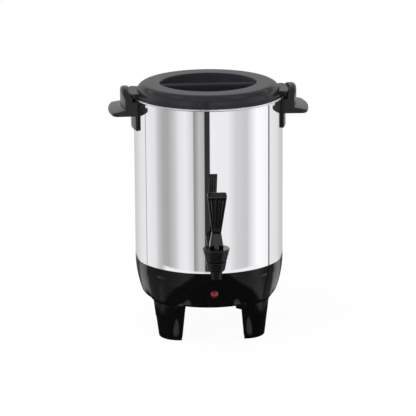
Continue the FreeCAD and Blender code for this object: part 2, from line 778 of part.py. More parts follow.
def inlet_face_y():
    """Where the inlet's flange bears on the housing's bosses."""
    return inlet_back_y() + FLANGE_THICK + TOUCH


def inlet_back_y():
    """Inner face of the inlet's flange."""
    return inlet_front_y() - INLET_DEPTH


def inlet_front_y():
    """The inlet's open end, proud of the bowl's face."""
    return bowl_r(INLET_Z) + INLET_PROUD


def inlet_block(shrink, from_y, to_y):
    """Upright prism of the inlet's outline, with round corners."""
    half_w = INLET_HALF_WIDTH - shrink
    half_h = INLET_HALF_HEIGHT - shrink
    form = block((-half_w, from_y, INLET_Z - half_h), (half_w, to_y, INLET_Z + half_h))
    return rounded(form, INLET_CORNER - shrink, lambda e: edge_box(e).YLength > to_y - from_y - 0.01)


def inlet_shroud():
    """Moulded socket for the appliance plug, with its flange and pin holes."""
    back = inlet_back_y()
    front = inlet_front_y()
    outer = inlet_block(0, back, front)
    flange_w = INLET_SCREW_AT + INLET_BOSS_R
    flange_h = INLET_HALF_HEIGHT + FLANGE_RISE
    flange = block((-flange_w, back, INLET_Z - flange_h),
                   (flange_w, back + FLANGE_THICK, INLET_Z + flange_h))
    shroud = joined(outer, flange)
    shroud = shroud.cut(inlet_block(INLET_WALL, back + INLET_FLOOR, front + 1))
    for side in (-1, 1):
        for x, hole_r in ((side * INLET_PIN_HALF_PITCH, INLET_TAIL_R + SCREW_GAP),
                          (side * INLET_SCREW_AT, INLET_SCREW_R + SEAT_GAP)):
            shroud = shroud.cut(rod(hole_r, V(x, back - 1, INLET_Z), V(x, back + INLET_FLOOR + 1, INLET_Z)))
    return shroud


def inlet_pins():
    """Two round contact pins with their tails."""
    back = inlet_back_y()
    pins = []
    for side in (-1, 1):
        x = side * INLET_PIN_HALF_PITCH
        root_y = back + INLET_FLOOR + TOUCH
        tip_y = root_y + INLET_PIN_LENGTH
        pin = rod(INLET_PIN_R, V(x, root_y, INLET_Z), V(x, tip_y, INLET_Z))
        pin = rounded(pin, INLET_TIP_ROUND, lambda e: edge_box(e).YMin > tip_y - 0.01)
        tail = rod(INLET_TAIL_R, V(x, back - INLET_PIN_TAIL, INLET_Z), V(x, root_y + 1, INLET_Z))
        pins.append(joined(pin, tail))
    return pins


def inlet_screws():
    """Two screws from inside, through the flange into the housing's bosses."""
    back = inlet_back_y()
    screws = []
    for side in (-1, 1):
        x = side * INLET_SCREW_AT
        head = rod(INLET_HEAD_R, V(x, back - INLET_HEAD, INLET_Z), V(x, back - TOUCH, INLET_Z))
        bite = back + FLANGE_THICK + INLET_SCREW_BITE
        shaft = rod(INLET_SCREW_R, V(x, back - INLET_HEAD / 2, INLET_Z), V(x, bite, INLET_Z))
        screws.append(joined(head, shaft))
    return screws


def lens_plan(half_length, half_width, z):
    """Pointed oval of two arcs, its points along X."""
    path = [(-half_length, 0), (0, -half_width, half_length, 0), (0, half_width, -half_length, 0)]
    return outline(path, lambda x, y: V(x, y, z))


def recess_form(grow, low, high):
    """Tapered tub under the pointed oval, narrower at its floor."""
    foot_share = (high - low) / RECESS_DEPTH
    draft = RECESS_DRAFT * foot_share
    top = lens_plan(RECESS_HALF_LENGTH + grow, RECESS_HALF_WIDTH + grow, high)
    foot = lens_plan(RECESS_HALF_LENGTH + grow - draft, RECESS_HALF_WIDTH + grow - draft, low)
    return Part.makeLoft([foot, top], True, True)


def cover_round(inset, side_z, top_z):
    """Arc that rolls the cover's side over into its plateau."""
    side_r = COVER_SIDE_R - inset
    flat_r = COVER_FLAT_R - inset / 4
    mid_r = flat_r + (side_r - flat_r) * HALF_RIGHT
    mid_z = side_z + (top_z - side_z) * HALF_RIGHT
    return (mid_r, mid_z, flat_r, top_z)


def cover():
    """Moulded lid: brim, rolled side, plateau with the finger recess and bar, skirt and lugs."""
    top_z = RIM_Z + COVER_RISE
    side_z = COVER_Z + COVER_SIDE_RISE
    outside = turned([
        (0, COVER_Z),
        (BRIM_R, COVER_Z),
        (BRIM_R, COVER_Z + BRIM_THICK),
        (COVER_SIDE_R + 1, COVER_Z + BRIM_THICK),
        (COVER_SIDE_R, side_z),
        cover_round(0, side_z, top_z),
        (0, top_z),
    ])
    skirt_r = CAN_IN_R - SLIDE_GAP
    hollow = turned([
        (0, COVER_Z - 1),
        (COVER_SIDE_R - 0.5, COVER_Z - 1),
        (COVER_SIDE_R - 0.5, COVER_Z + 0.5),
        (COVER_SIDE_R - COVER_WALL, side_z),
        cover_round(COVER_WALL, side_z, top_z - COVER_WALL),
        (0, top_z - COVER_WALL),
    ])
    skirt = turned([
        (skirt_r - SKIRT_WALL, COVER_Z - SKIRT_DEPTH),
        (skirt_r, COVER_Z - SKIRT_DEPTH),
        (skirt_r, COVER_Z + 1),
        (skirt_r - SKIRT_WALL, COVER_Z + 1),
    ])
    lug = turned([
        (COVER_SIDE_R - 1, COVER_Z),
        (LUG_R, COVER_Z),
        (LUG_R, RIM_Z + LUG_RISE),
        (COVER_SIDE_R - 1, RIM_Z + LUG_RISE),
    ], half_deg=LUG_HALF_DEG)
    lug = rounded(lug, LUG_ROUND, lambda e: edge_box(e).ZLength > 3 and edge_box(e).XMax > LUG_R - 8)
    floor_z = top_z - RECESS_DEPTH
    tub = recess_form(COVER_WALL, floor_z - COVER_WALL, top_z)
    tub = tub.common(block((-CAN_R, -CAN_R, 0), (CAN_R, CAN_R, top_z - COVER_WALL / 2)))
    shell = joined(outside.cut(hollow), skirt, tub, *about_axis(lug, 2))
    void = recess_form(0, floor_z, top_z).cut(grip_bar(0, floor_z - 1, top_z - BAR_SINK))
    shell = shell.cut(void)
    shell = shell.cut(grip_bar(COVER_WALL, floor_z - 2 * COVER_WALL, top_z - BAR_SINK - COVER_WALL))
    return rounded(shell, RECESS_ROUND, lambda e: on_recess_edge(e, top_z))


def grip_bar(shrink, low, high):
    """The bar across the recess, a little waisted in plan; shrink gives its hollow underside."""
    length = RECESS_HALF_LENGTH + 2 - 8 * shrink
    ends = BAR_HALF_WIDTH * BAR_SPREAD - shrink
    waist = BAR_HALF_WIDTH - shrink
    path = [(-length, -ends), (0, -waist, length, -ends), (length, ends), (0, waist, -length, ends)]
    bar = Part.Face(outline(path, lambda x, y: V(x, y, low))).extrude(UP * (high - low))
    if shrink:
        return bar
    return rounded(bar, BAR_ROUND, lambda e: edge_box(e).ZMin > high - 0.01 and edge_box(e).XLength > 9)


def on_recess_edge(edge, top_z):
    """Whether an edge is one of the two long arcs at the mouth of the finger recess."""
    box = edge_box(edge)
    inside = max(abs(box.YMin), abs(box.YMax)) < RECESS_HALF_WIDTH + 1
    return box.ZMin > top_z - 0.01 and inside and edge.Length > RECESS_HALF_WIDTH


def handle():
    """Moulded handle on the +X side: block, tower round the lug's pocket, wing and tail."""
    def low(drop):
        return RIM_Z - drop
    body = turned([
        (HANDLE_IN_R, low(TAIL_DROP)),
        (TAIL_R - TAIL_CHAMFER, low(TAIL_DROP)),
        (TAIL_R, low(TAIL_DROP - TAIL_CHAMFER)),
        (TAIL_R, low(WING_UNDER_DROP)),
        (WING_R, low(WING_UNDER_TIP_DROP)),
        (WING_R, low(WING_TIP_DROP)),
        (TOWER_R, low(WING_ROOT_DROP)),
        (TOWER_R, RIM_Z + TOWER_RISE),
        (POCKET_R, RIM_Z + TOWER_RISE),
        (POCKET_R, low(POCKET_DROP)),
        (HANDLE_IN_R, low(POCKET_DROP)),
    ], half_deg=HANDLE_HALF_DEG)
    body = rounded(body, WING_CORNER, lambda e: is_upright(e, WING_R))
    crown = rod(TOWER_CROWN_R, V(0, 0, RIM_Z + TOWER_RISE - TOWER_CROWN_R),
                V(2 * WING_R, 0, RIM_Z + TOWER_RISE - TOWER_CROWN_R))
    body = body.common(crown)
    body = rounded(body, TOWER_ROUND, is_tower_crest)
    body = rounded(body, WING_ROUND, is_wing_edge)
    foot_r = BRACKET_FOOT_R + BRACKET_THICK + SEAT_GAP
    tab_low = low(BRACKET_TAB_DROP) - BRACKET_THICK - SEAT_GAP
    cavity = turned([
        (CAN_R - 1, low(BRACKET_FOOT_DROP) - SEAT_GAP),
        (foot_r, low(BRACKET_FOOT_DROP) - SEAT_GAP),
        (foot_r, tab_low),
        (BRACKET_TAB_R + SEAT_GAP, tab_low),
        (BRACKET_TAB_R + SEAT_GAP, low(BRACKET_TAB_DROP) + SEAT_GAP),
        (CAN_R - 1, low(BRACKET_TAB_DROP) + SEAT_GAP),
    ], half_deg=BRACKET_HALF_DEG + 0.3)
    at = V(HANDLE_SCREW_AT, 0, 0)
    hole = rod(HANDLE_SCREW_R + SCREW_GAP, at + UP * low(WING_UNDER_DROP + 2),
               at + UP * (low(BRACKET_TAB_DROP) + 3))
    head_hole = rod(HANDLE_SCREW_HEAD_R + SEAT_GAP, at + UP * low(WING_UNDER_DROP + 5),
                    at + UP * (low(WING_UNDER_DROP) + HANDLE_HEAD_SINK))
    return body.cut(cavity).cut(hole).cut(head_hole)


def is_upright(edge, at_r):
    """Whether an edge stands upright at a given distance from the can's axis."""
    box = edge_box(edge)
    straight = math.hypot(box.XLength, box.YLength) < 0.01
    return straight and abs(math.hypot(box.XMin, box.YMin) - at_r) < 0.1


def is_tower_crest(edge):
    """Whether an edge is the long outer one along the top of the handle's tower."""
    box = edge_box(edge)
    ends_r = [math.hypot(v.X, v.Y) for v in edge.Vertexes]
    return box.ZMin > RIM_Z and box.YLength > TOWER_R / 4 and min(ends_r) > TOWER_R - 1


def is_wing_edge(edge):
    """Whether an edge runs round the wing's free end, above or below."""
    box = edge_box(edge)
    ends_r = [math.hypot(v.X, v.Y) for v in edge.Vertexes]
    level = box.ZMax < RIM_Z - POCKET_DROP and math.hypot(box.XLength, box.YLength) > WING_ROUND
    return level and min(ends_r) > TOWER_R + WING_ROUND


def handle_bracket():
    """Folded strap welded to the can, with the tab that the handle's screw takes."""
    z = RIM_Z - BRACKET_TAB_DROP
    strap = turned([
        (BRACKET_FOOT_R, RIM_Z - BRACKET_FOOT_DROP),
        (BRACKET_FOOT_R + BRACKET_THICK, RIM_Z - BRACKET_FOOT_DROP),
        (BRACKET_FOOT_R + BRACKET_THICK, z - BRACKET_THICK),
        (BRACKET_TAB_R, z - BRACKET_THICK),
        (BRACKET_TAB_R, z),
        (BRACKET_FOOT_R, z),
    ], half_deg=BRACKET_HALF_DEG)
    at = V(HANDLE_SCREW_AT, 0, z)
    return strap.cut(rod(HANDLE_SCREW_R + SCREW_GAP, at - UP * 5, at + UP * 5))


def handle_screw():
    """Pan-head screw up through the handle into the bracket's tab."""
    head_top = RIM_Z - WING_UNDER_DROP + HANDLE_HEAD_SINK - TOUCH
    at = V(HANDLE_SCREW_AT, 0, 0)
    head = rod(HANDLE_SCREW_HEAD_R, at + UP * (head_top - HANDLE_SCREW_HEAD), at + UP * head_top)
    shaft = rod(HANDLE_SCREW_R, at + UP * (head_top - 1), at + UP * (RIM_Z - BRACKET_TAB_DROP + 2))
    return joined(head, shaft)


def other_side(solid):
    """The same piece on the left of the urn."""
    return solid.mirror(V(0, 0, 0), ACROSS)


def faucet_body():
    """Moulded barrel with its neck, seat, spout and shank."""
    top = BONNET_TOP_Z - BONNET_HEIGHT
    low = top - BARREL_HEIGHT
    tip = low - SPOUT_LENGTH
    barrel = tap_section([
        (0, tip),
        (SPOUT_LOW_R, tip),
        (SPOUT_TOP_R, low),
        (BARREL_LOW_R - BARREL_ROUND, low),
        (BARREL_LOW_R - BARREL_ROUND * (1 - HALF_RIGHT), low + BARREL_ROUND * (1 - HALF_RIGHT),
         BARREL_LOW_R, low + BARREL_ROUND),
        (BONNET_LOW_R, top - BONNET_SEAM),
        (NECK_R, top - BONNET_SEAM),
        (NECK_R, top + NECK_HEIGHT),
        (0, top + NECK_HEIGHT),
    ])
    flange_y = -(CAN_R + GASKET_THICK + SEAT_GAP)
    flange = rod(SHANK_FLANGE_R, V(0, flange_y - SHANK_FLANGE_THICK, SHANK_Z), V(0, flange_y, SHANK_Z))
    arm_end = V(0, flange_y - SHANK_FLANGE_THICK / 2, SHANK_Z)
    arm = Part.makeCone(SHANK_R, SHANK_R + 1, TAP_Y + arm_end.y, V(0, -TAP_Y, SHANK_Z), BACK)
    shank = rod(SHANK_R, arm_end, V(0, SHANK_INSIDE - CAN_IN_R, SHANK_Z))
    body = joined(barrel, flange, arm, shank)
    chamber = tap_section([
        (0, SEAT_Z),
        (CHAMBER_R, SEAT_Z),
        (CHAMBER_R, top + NECK_HEIGHT + 1),
        (0, top + NECK_HEIGHT + 1),
    ])
    outlet = rod(SPOUT_BORE_R, TAP + UP * (tip - 1), TAP + UP * (SEAT_Z + 1))
    inlet = rod(SHANK_BORE_R, V(0, -TAP_Y, SHANK_Z), V(0, SHANK_INSIDE - CAN_IN_R + 1, SHANK_Z))
    return body.cut(chamber).cut(outlet).cut(inlet)


def faucet_bonnet():
    """Screwed cap over the barrel's neck, flared to the disc that the lever's foot rides on."""
    top = BONNET_TOP_Z
    low = top - BONNET_HEIGHT
    hole_r = STEM_R + PIN_GAP
    return tap_section([
        (NECK_R + TOUCH, low),
        (BONNET_LOW_R, low),
        (BONNET_TOP_R, top - BONNET_BEVEL),
        (BONNET_TOP_R - BONNET_BEVEL, top),
        (hole_r, top),
        (hole_r, top - BONNET_CROWN),
        (NECK_R + TOUCH, top - BONNET_CROWN),
    ])


def faucet_stem():
    """Spindle: a foot bulb held in the cup, a rod, and the flat eye that the lever's pin joins."""
    foot = SEAT_Z + SEAT_GAP + CUP_SOLE
    bulb = rod(BULB_R, TAP + UP * foot, TAP + UP * (foot + BULB_HEIGHT))
    shaft = rod(STEM_R, TAP + UP * foot, TAP + UP * HINGE_Z)
    hinge = TAP + UP * HINGE_Z
    reach = ACROSS * EYE_HALF_THICK
    eye = rod(EYE_R, hinge - reach, hinge + reach)
    stem = joined(bulb, shaft, eye)
    return stem.cut(rod(HINGE_PIN_R + PIN_GAP, hinge - ACROSS * 10, hinge + ACROSS * 10))


def seat_cup():
    """Rubber cup on the spindle's foot, closing the spout."""
    low = SEAT_Z + SEAT_GAP
    high = low + CUP_HEIGHT
    bulb_top = low + CUP_SOLE + BULB_HEIGHT + SCREW_GAP
    return tap_section([
        (0, low),
        (CUP_R - CUP_BEVEL, low),
        (CUP_R, low + CUP_BEVEL),
        (CUP_R, high - CUP_BEVEL),
        (CUP_R - CUP_BEVEL, high),
        (STEM_R + SCREW_GAP, high),
        (STEM_R + SCREW_GAP, bulb_top),
        (BULB_R + SCREW_GAP, bulb_top),
        (BULB_R + SCREW_GAP, low + CUP_SOLE - SCREW_GAP),
        (0, low + CUP_SOLE - SCREW_GAP),
    ])


def faucet_spring():
    """Compression spring round the spindle, one unbroken wire of half-turn arcs."""
    low = SEAT_Z + SEAT_GAP + CUP_HEIGHT + SPRING_WIRE_R + TOUCH
    high = BONNET_TOP_Z - BONNET_CROWN - SPRING_WIRE_R - TOUCH
    rise = (high - low) / SPRING_TURN_COUNT

    def point(turn):
        a = 2 * math.pi * turn
        return TAP + V(SPRING_R * math.cos(a), SPRING_R * math.sin(a), low + rise * turn)
    arcs = []
    for i in range(4 * SPRING_TURN_COUNT):
        arcs.append(Part.Arc(point(i / 4), point(i / 4 + 0.125), point(i / 4 + 0.25)).toShape())
    lean = V(0, 2 * math.pi * SPRING_R, rise)
    section = Part.Wire(Part.makeCircle(SPRING_WIRE_R, point(0), lean))
    gap = rise - 2 * SPRING_WIRE_R
    print("faucet_spring least gap between turns", round(gap, 2))
    return Part.Wire(arcs).makePipeShell([section], True, False)


def rounded_plan(half_width, half_depth, centre_y, z):
    """Rounded rectangle across the lever."""
    w = half_width - LEVER_CORNER
    d = half_depth - LEVER_CORNER
    k = LEVER_CORNER * HALF_RIGHT
    path = [
        (-w, -half_depth),
        (w, -half_depth),
        (w + k, -d - k, half_width, -d),
        (half_width, d),
        (w + k, d + k, w, half_depth),
        (-w, half_depth),
        (-w - k, d + k, -half_width, d),
        (-half_width, -d),
        (-w - k, -d - k, -w, -half_depth),
    ]
    return outline(path, lambda x, y: V(x, centre_y + y, z))


def cam_centre():
    """Middle of the lever's round foot, from the pin, with the lever upright."""
    a = math.radians(90 + LEVER_TURN / 2 + LEVER_LEAN)
    return V(0, -CAM_OFFSET * math.sin(a), -CAM_OFFSET * math.cos(a))


def faucet_handle():
    """Moulded paddle lever: round cam foot with a slot, a neck, and a grooved flared grip."""
    cam = cam_centre()
    wires = []
    for i in range(LEVER_FLARE_COUNT + 1):
        share = i / LEVER_FLARE_COUNT
        bell = (1 - share) ** 2
        wires.append(rounded_plan(
            LEVER_NECK_HALF_WIDTH + bell * (LEVER_FOOT_HALF_WIDTH - LEVER_NECK_HALF_WIDTH),
            LEVER_NECK_HALF_DEPTH + bell * (LEVER_FOOT_HALF_DEPTH - LEVER_NECK_HALF_DEPTH),
            bell * cam.y,
            LEVER_FOOT_AT + share * (LEVER_NECK_AT - LEVER_FOOT_AT)))
    wires.append(rounded_plan(LEVER_TOP_HALF_WIDTH, LEVER_TOP_HALF_DEPTH, 0, LEVER_END))
    grip = Part.makeLoft(wires, True, True)
    grip = rounded(grip, LEVER_CORNER * 0.8, lambda e: edge_box(e).ZMin > LEVER_END - 0.01)
    foot = rod(CAM_R, cam - ACROSS * LEVER_FOOT_HALF_WIDTH, cam + ACROSS * LEVER_FOOT_HALF_WIDTH)
    foot = rounded(foot, 1.0, lambda e: edge_box(e).XLength < 0.01)
    lever = joined(grip, foot)
    for spread in GROOVE_SPREAD:
        for face in (-1, 1):
            start = V(spread * LEVER_NECK_HALF_WIDTH, face * LEVER_NECK_HALF_DEPTH, LEVER_NECK_AT)
            end = V(spread * LEVER_TOP_HALF_WIDTH, face * LEVER_TOP_HALF_DEPTH, LEVER_END)
            run = end - start
            begin = start + run * (GROOVE_MARGIN / run.Length)
            length = run.Length - 2 * GROOVE_MARGIN
            lever = lever.cut(Part.makeCone(GROOVE_TIP_R, GROOVE_R, length, begin, run))
    slot = EYE_HALF_THICK + LEVER_SLOT
    clear = EYE_R + 2 * SEAT_GAP
    lever = lever.cut(block((-slot, cam.y - 2 * CAM_R, -2 * CAM_R), (slot, clear, clear)))
    lever = lever.cut(rod(HINGE_PIN_R + PIN_GAP, ACROSS * -20, ACROSS * 20))
    lever.rotate(V(0, 0, 0), ACROSS, LEVER_LEAN)
    lever.translate(TAP + UP * HINGE_Z)
    return lever


def handle_pin():
    """Cross pin of the lever."""
    hinge = TAP + UP * HINGE_Z
    return rod(HINGE_PIN_R, hinge - ACROSS * HINGE_PIN_HALF, hinge + ACROSS * HINGE_PIN_HALF)


def outer_gasket():
    """Rubber ring between the can and the tap's flange, shaped to the can's round."""
    face_y = -(CAN_R + GASKET_THICK + SEAT_GAP - TOUCH)
    ring = rod(GASKET_R, V(0, face_y, SHANK_Z), V(0, GASKET_THICK - CAN_R, SHANK_Z))
    ring = ring.cut(Part.makeCylinder(CAN_R + TOUCH, RIM_Z))
    return ring.cut(rod(SHANK_R + TOUCH, V(0, 0, SHANK_Z), V(0, -TAP_Y, SHANK_Z)))


def inner_gasket():
    """Rubber ring inside the can, shaped to its round."""
    ring = rod(INNER_GASKET_R, V(0, -CAN_R, SHANK_Z), V(0, GASKET_THICK - CAN_IN_R, SHANK_Z))
    ring = ring.common(Part.makeCylinder(CAN_IN_R - SEAT_GAP, RIM_Z))
    return ring.cut(rod(SHANK_R + TOUCH, V(0, 0, SHANK_Z), V(0, -TAP_Y, SHANK_Z)))


def faucet_nut():
    """Hexagon nut that holds the tap from inside."""
    start = GASKET_THICK - CAN_IN_R + TOUCH
    nut = hexagon(FAUCET_NUT_R, 0, FAUCET_NUT_THICK, V(0, 0, 0))
    nut = nut.cut(rod(SHANK_R + SCREW_GAP, V(0, 0, -5), V(0, 0, 2 * FAUCET_NUT_THICK)))
    nut.rotate(V(0, 0, 0), ACROSS, -90)
    nut.translate(V(0, start, SHANK_Z))
    return nut


def pump_tube():
    """Percolator stem: tube, its bell over the well, and the collar that carries the basket."""
    bore_r = PUMP_R - PUMP_WALL
    tube = turned([
        (bore_r, PUMP_TOP_Z),
        (bore_r, BELL_ROOF_Z - BELL_WALL),
        (BELL_FLAT_R, BELL_ROOF_Z - BELL_WALL),
        (BELL_R - BELL_WALL, BELL_Z + BELL_BRIM),
        (BELL_R - BELL_WALL, BELL_Z),
        (BELL_R, BELL_Z),
        (BELL_R, BELL_Z + BELL_BRIM + BELL_WALL),
        (BELL_FLAT_R + BELL_WALL / 2, BELL_ROOF_Z),
        (PUMP_R, BELL_ROOF_Z),
        (PUMP_R, PUMP_TOP_Z),
    ])
    collar_z = BASKET_Z - TOUCH - COLLAR_THICK
    collar = turned([
        (bore_r, collar_z),
        (COLLAR_R, collar_z),
        (COLLAR_R, collar_z + COLLAR_THICK),
        (bore_r, collar_z + COLLAR_THICK),
    ])
    tube = joined(tube, collar)
    notch = rod(BELL_NOTCH_R, V(0, 0, BELL_Z), V(2 * BELL_R, 0, BELL_Z))
    intake = rod(INTAKE_R, V(INTAKE_AT, 0, BELL_ROOF_Z - 3), V(INTAKE_AT, 0, BELL_ROOF_Z + 3))
    for cutter in about_axis(notch, BELL_NOTCH_COUNT) + about_axis(intake, INTAKE_COUNT):
        tube = tube.cut(cutter)
    return tube


def pump_washer():
    """Loose ring on the bell's roof, the valve over its intake holes."""
    low = BELL_ROOF_Z + TOUCH
    return turned([
        (PUMP_R + SEAT_GAP, low),
        (WASHER_R, low),
        (WASHER_R, low + WASHER_THICK),
        (PUMP_R + SEAT_GAP, low + WASHER_THICK),
    ])


def drilled(solid, distances, counts, z):
    """Rings of drip holes through a floor, each at its distance and in its count."""
    for at, count in zip(distances, counts):
        hole = rod(DRIP_R, V(at, 0, z - 3), V(at, 0, z + 3))
        solid = solid.cut(Part.makeCompound(about_axis(hole, count)))
    return solid


def coffee_basket():
    """Pressed basket with a hub over the pump's tube, a rolled rim and drip holes."""
    hub_in = PUMP_R + SEAT_GAP
    hub_out = hub_in + BASKET_HUB_WALL
    pan = turned([
        (hub_in, BASKET_Z),
        (BASKET_R, BASKET_Z),
        (BASKET_R, BASKET_RIM_Z - BASKET_RIM_R),
        (BASKET_R - BASKET_WALL, BASKET_RIM_Z - BASKET_RIM_R),
        (BASKET_R - BASKET_WALL, BASKET_Z + BASKET_WALL),
        (hub_out, BASKET_Z + BASKET_WALL),
        (hub_out, BASKET_Z + BASKET_HUB_HEIGHT),
        (hub_in, BASKET_Z + BASKET_HUB_HEIGHT),
    ])
    rim = Part.makeTorus(BASKET_R, BASKET_RIM_R, V(0, 0, BASKET_RIM_Z - BASKET_RIM_R), UP)
    return drilled(joined(pan, rim), BASKET_DRIP_AT, BASKET_DRIP_COUNT, BASKET_Z)


def spreader():
    """Water spreader: drilled disc on the basket's rim, raised at the middle."""
    low = BASKET_RIM_Z + TOUCH
    high = low + SPREADER_RISE
    lip_r = BASKET_R - BASKET_RIM_R - SLIDE_GAP
    hole_r = PUMP_R + SLIDE_GAP
    disc = turned([
        (hole_r, high),
        (SPREADER_CROWN_R - SPREADER_RISE, high),
        (SPREADER_CROWN_R, low),
        (lip_r - BASKET_WALL, low),
        (lip_r - BASKET_WALL, low - SPREADER_LIP),
        (lip_r, low - SPREADER_LIP),
        (lip_r, low),
        (BASKET_R + BASKET_RIM_R, low),
        (BASKET_R + BASKET_RIM_R, low + BASKET_WALL),
        (SPREADER_CROWN_R + BASKET_WALL / 2, low + BASKET_WALL),
        (SPREADER_CROWN_R - SPREADER_RISE + BASKET_WALL / 2, high + BASKET_WALL),
        (hole_r, high + BASKET_WALL),
    ])
    return drilled(disc, SPREADER_DRIP_AT, SPREADER_DRIP_COUNT, low)


os.makedirs("parts", exist_ok=True)
right_handle = handle()
bracket = handle_bracket()
screw = handle_screw()

save("cover", cover())
save("spreader", spreader())
save("coffee_basket", coffee_basket())
save("pump_tube", pump_tube())
save("pump_washer", pump_washer())
save("urn_body", urn_body())
save("right_handle", right_handle)
save("left_handle", other_side(right_handle))
save("handle_brackets", bracket, other_side(bracket))
save("handle_screws", screw, other_side(screw))
save("faucet_body", faucet_body())
save("faucet_bonnet", faucet_bonnet())
save("faucet_stem", faucet_stem())
save("seat_cup", seat_cup())
save("faucet_spring", faucet_spring())
save("faucet_handle", faucet_handle())
save("handle_pin", handle_pin())
save("outer_gasket", outer_gasket())
save("inner_gasket", inner_gasket())
save("faucet_nut", faucet_nut())
save("base_housing", base_housing())
save("bottom_plate", bottom_plate())
save("centre_stud", centre_stud())
save("centre_nuts", *centre_nuts())
save("pump_heater", heater(PUMP_HEATER_R, HEATER_TOWARDS))
save("warming_heater", heater(WARM_HEATER_R, HEATER_TOWARDS))
save("heater_clamp", heater_clamp())
save("thermostat", thermostat())
save("thermal_fuse", thermal_fuse())
save("internal_leads", *internal_leads())
save("pilot_lens", pilot_lens())
save("pilot_lamp", pilot_lamp())
save("pilot_clip", pilot_clip())
save("inlet_shroud", inlet_shroud())
save("inlet_pins", *inlet_pins())
save("inlet_screws", *inlet_screws())
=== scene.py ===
import json
import math

import bmesh
import bpy
import numpy as np
from mathutils import Matrix, Vector


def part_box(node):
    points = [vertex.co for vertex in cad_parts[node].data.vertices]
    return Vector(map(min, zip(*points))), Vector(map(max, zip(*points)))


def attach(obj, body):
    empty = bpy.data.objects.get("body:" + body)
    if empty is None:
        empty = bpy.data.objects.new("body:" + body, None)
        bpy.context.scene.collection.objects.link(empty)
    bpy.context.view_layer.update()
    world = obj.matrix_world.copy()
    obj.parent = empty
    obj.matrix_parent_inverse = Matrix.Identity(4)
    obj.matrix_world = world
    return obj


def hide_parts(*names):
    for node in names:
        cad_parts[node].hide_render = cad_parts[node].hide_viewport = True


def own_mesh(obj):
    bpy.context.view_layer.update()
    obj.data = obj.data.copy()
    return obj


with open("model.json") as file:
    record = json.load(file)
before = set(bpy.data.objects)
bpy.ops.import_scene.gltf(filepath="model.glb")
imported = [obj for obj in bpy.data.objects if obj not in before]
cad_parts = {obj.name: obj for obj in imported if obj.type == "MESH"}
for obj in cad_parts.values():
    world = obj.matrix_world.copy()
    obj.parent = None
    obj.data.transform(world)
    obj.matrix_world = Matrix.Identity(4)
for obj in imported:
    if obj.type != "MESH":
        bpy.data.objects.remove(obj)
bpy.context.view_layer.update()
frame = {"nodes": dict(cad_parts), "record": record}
MM = 0.001


# The can. One drawn and polished stainless steel sheet with a rolled rim, a flat floor and a
# shallow well for the pump. It is turned about the Z axis, and its finish is a mirror with the
# slight waves that thin sheet keeps.

class Value:
    """A number that changes over a surface; sums and products of it become Math nodes."""

    def __init__(self, board, socket):
        self.board = board
        self.socket = socket

    def maths(self, operation, *others):
        return self.board.maths(operation, self, *others)

    def size(self):
        """The number without its sign."""
        return self.maths("ABSOLUTE")

    def smooth(self, low, high):
        """0 below low, 1 above high, smooth between."""
        return self.board.number("ShaderNodeMapRange", {"interpolation_type": "SMOOTHSTEP"},
                                 {"Value": self, "From Min": low, "From Max": high})

    def __add__(self, other):
        return self.maths("ADD", other)

    def __radd__(self, other):
        return self.board.maths("ADD", other, self)

    def __sub__(self, other):
        return self.maths("SUBTRACT", other)

    def __rsub__(self, other):
        return self.board.maths("SUBTRACT", other, self)

    def __mul__(self, other):
        return self.maths("MULTIPLY", other)

    def __rmul__(self, other):
        return self.board.maths("MULTIPLY", other, self)

    def __truediv__(self, other):
        return self.maths("DIVIDE", other)


class Board:
    """The node tree of one finish, or of the studio's sky."""

    def __init__(self, owner):
        owner.use_nodes = True
        self.tree = owner.node_tree
        self.tree.nodes.clear()

    def node(self, kind, settings=None, inputs=None):
        """Add a node: its settings first, then the values or links of its sockets."""
        made = self.tree.nodes.new(kind)
        for name, setting in (settings or {}).items():
            if name == "stops":
                self.set_stops(made.color_ramp, setting)
            else:
                setattr(made, name, setting)
        for name, given in (inputs or {}).items():
            if isinstance(given, Value):
                given = given.socket
            if isinstance(given, bpy.types.NodeSocket):
                self.tree.links.new(given, made.inputs[name])
            else:
                made.inputs[name].default_value = given
        return made

    def set_stops(self, ramp, stops):
        """Fill a colour ramp from pairs of a place and a grey or a colour."""
        while len(ramp.elements) < len(stops):
            ramp.elements.new(1.0)
        for element, (place, shade) in zip(ramp.elements, stops):
            element.position = place
            element.color = (shade, shade, shade, 1) if isinstance(shade, float) else (*shade, 1)

    def number(self, kind, settings=None, inputs=None):
        return Value(self, self.node(kind, settings, inputs).outputs[0])

    def maths(self, operation, *terms):
        return self.number("ShaderNodeMath", {"operation": operation}, dict(enumerate(terms)))

    def parts(self, coordinates="Object"):
        """A point's three coordinates as numbers, in metres on Object coordinates."""
        point = self.node("ShaderNodeTexCoord").outputs[coordinates]
        split = self.node("ShaderNodeSeparateXYZ", None, {0: point})
        return [Value(self, split.outputs[axis]) for axis in range(3)]

    def blend(self, share, one, other):
        """A shader that goes from one to the other as share goes from 0 to 1."""
        return self.node("ShaderNodeMixShader", None, {0: share, 1: one.outputs[0], 2: other.outputs[0]})

    def colours(self, share, one, other, way="MIX"):
        """A colour between two, or their product, by share."""
        mix = self.node("ShaderNodeMix", {"data_type": "RGBA", "blend_type": way},
                        {"Factor": share, 6: one, 7: other})
        return mix.outputs[2]

    def noise(self, scale, detail, stretch):
        """Noise on object coordinates, scale in turns per metre, as a number from 0 to 1."""
        place = self.node("ShaderNodeTexCoord").outputs["Object"]
        place = self.node("ShaderNodeMapping", None, {"Vector": place, "Scale": stretch}).outputs[0]
        return self.number("ShaderNodeTexNoise", None, {"Vector": place, "Scale": scale, "Detail": detail})


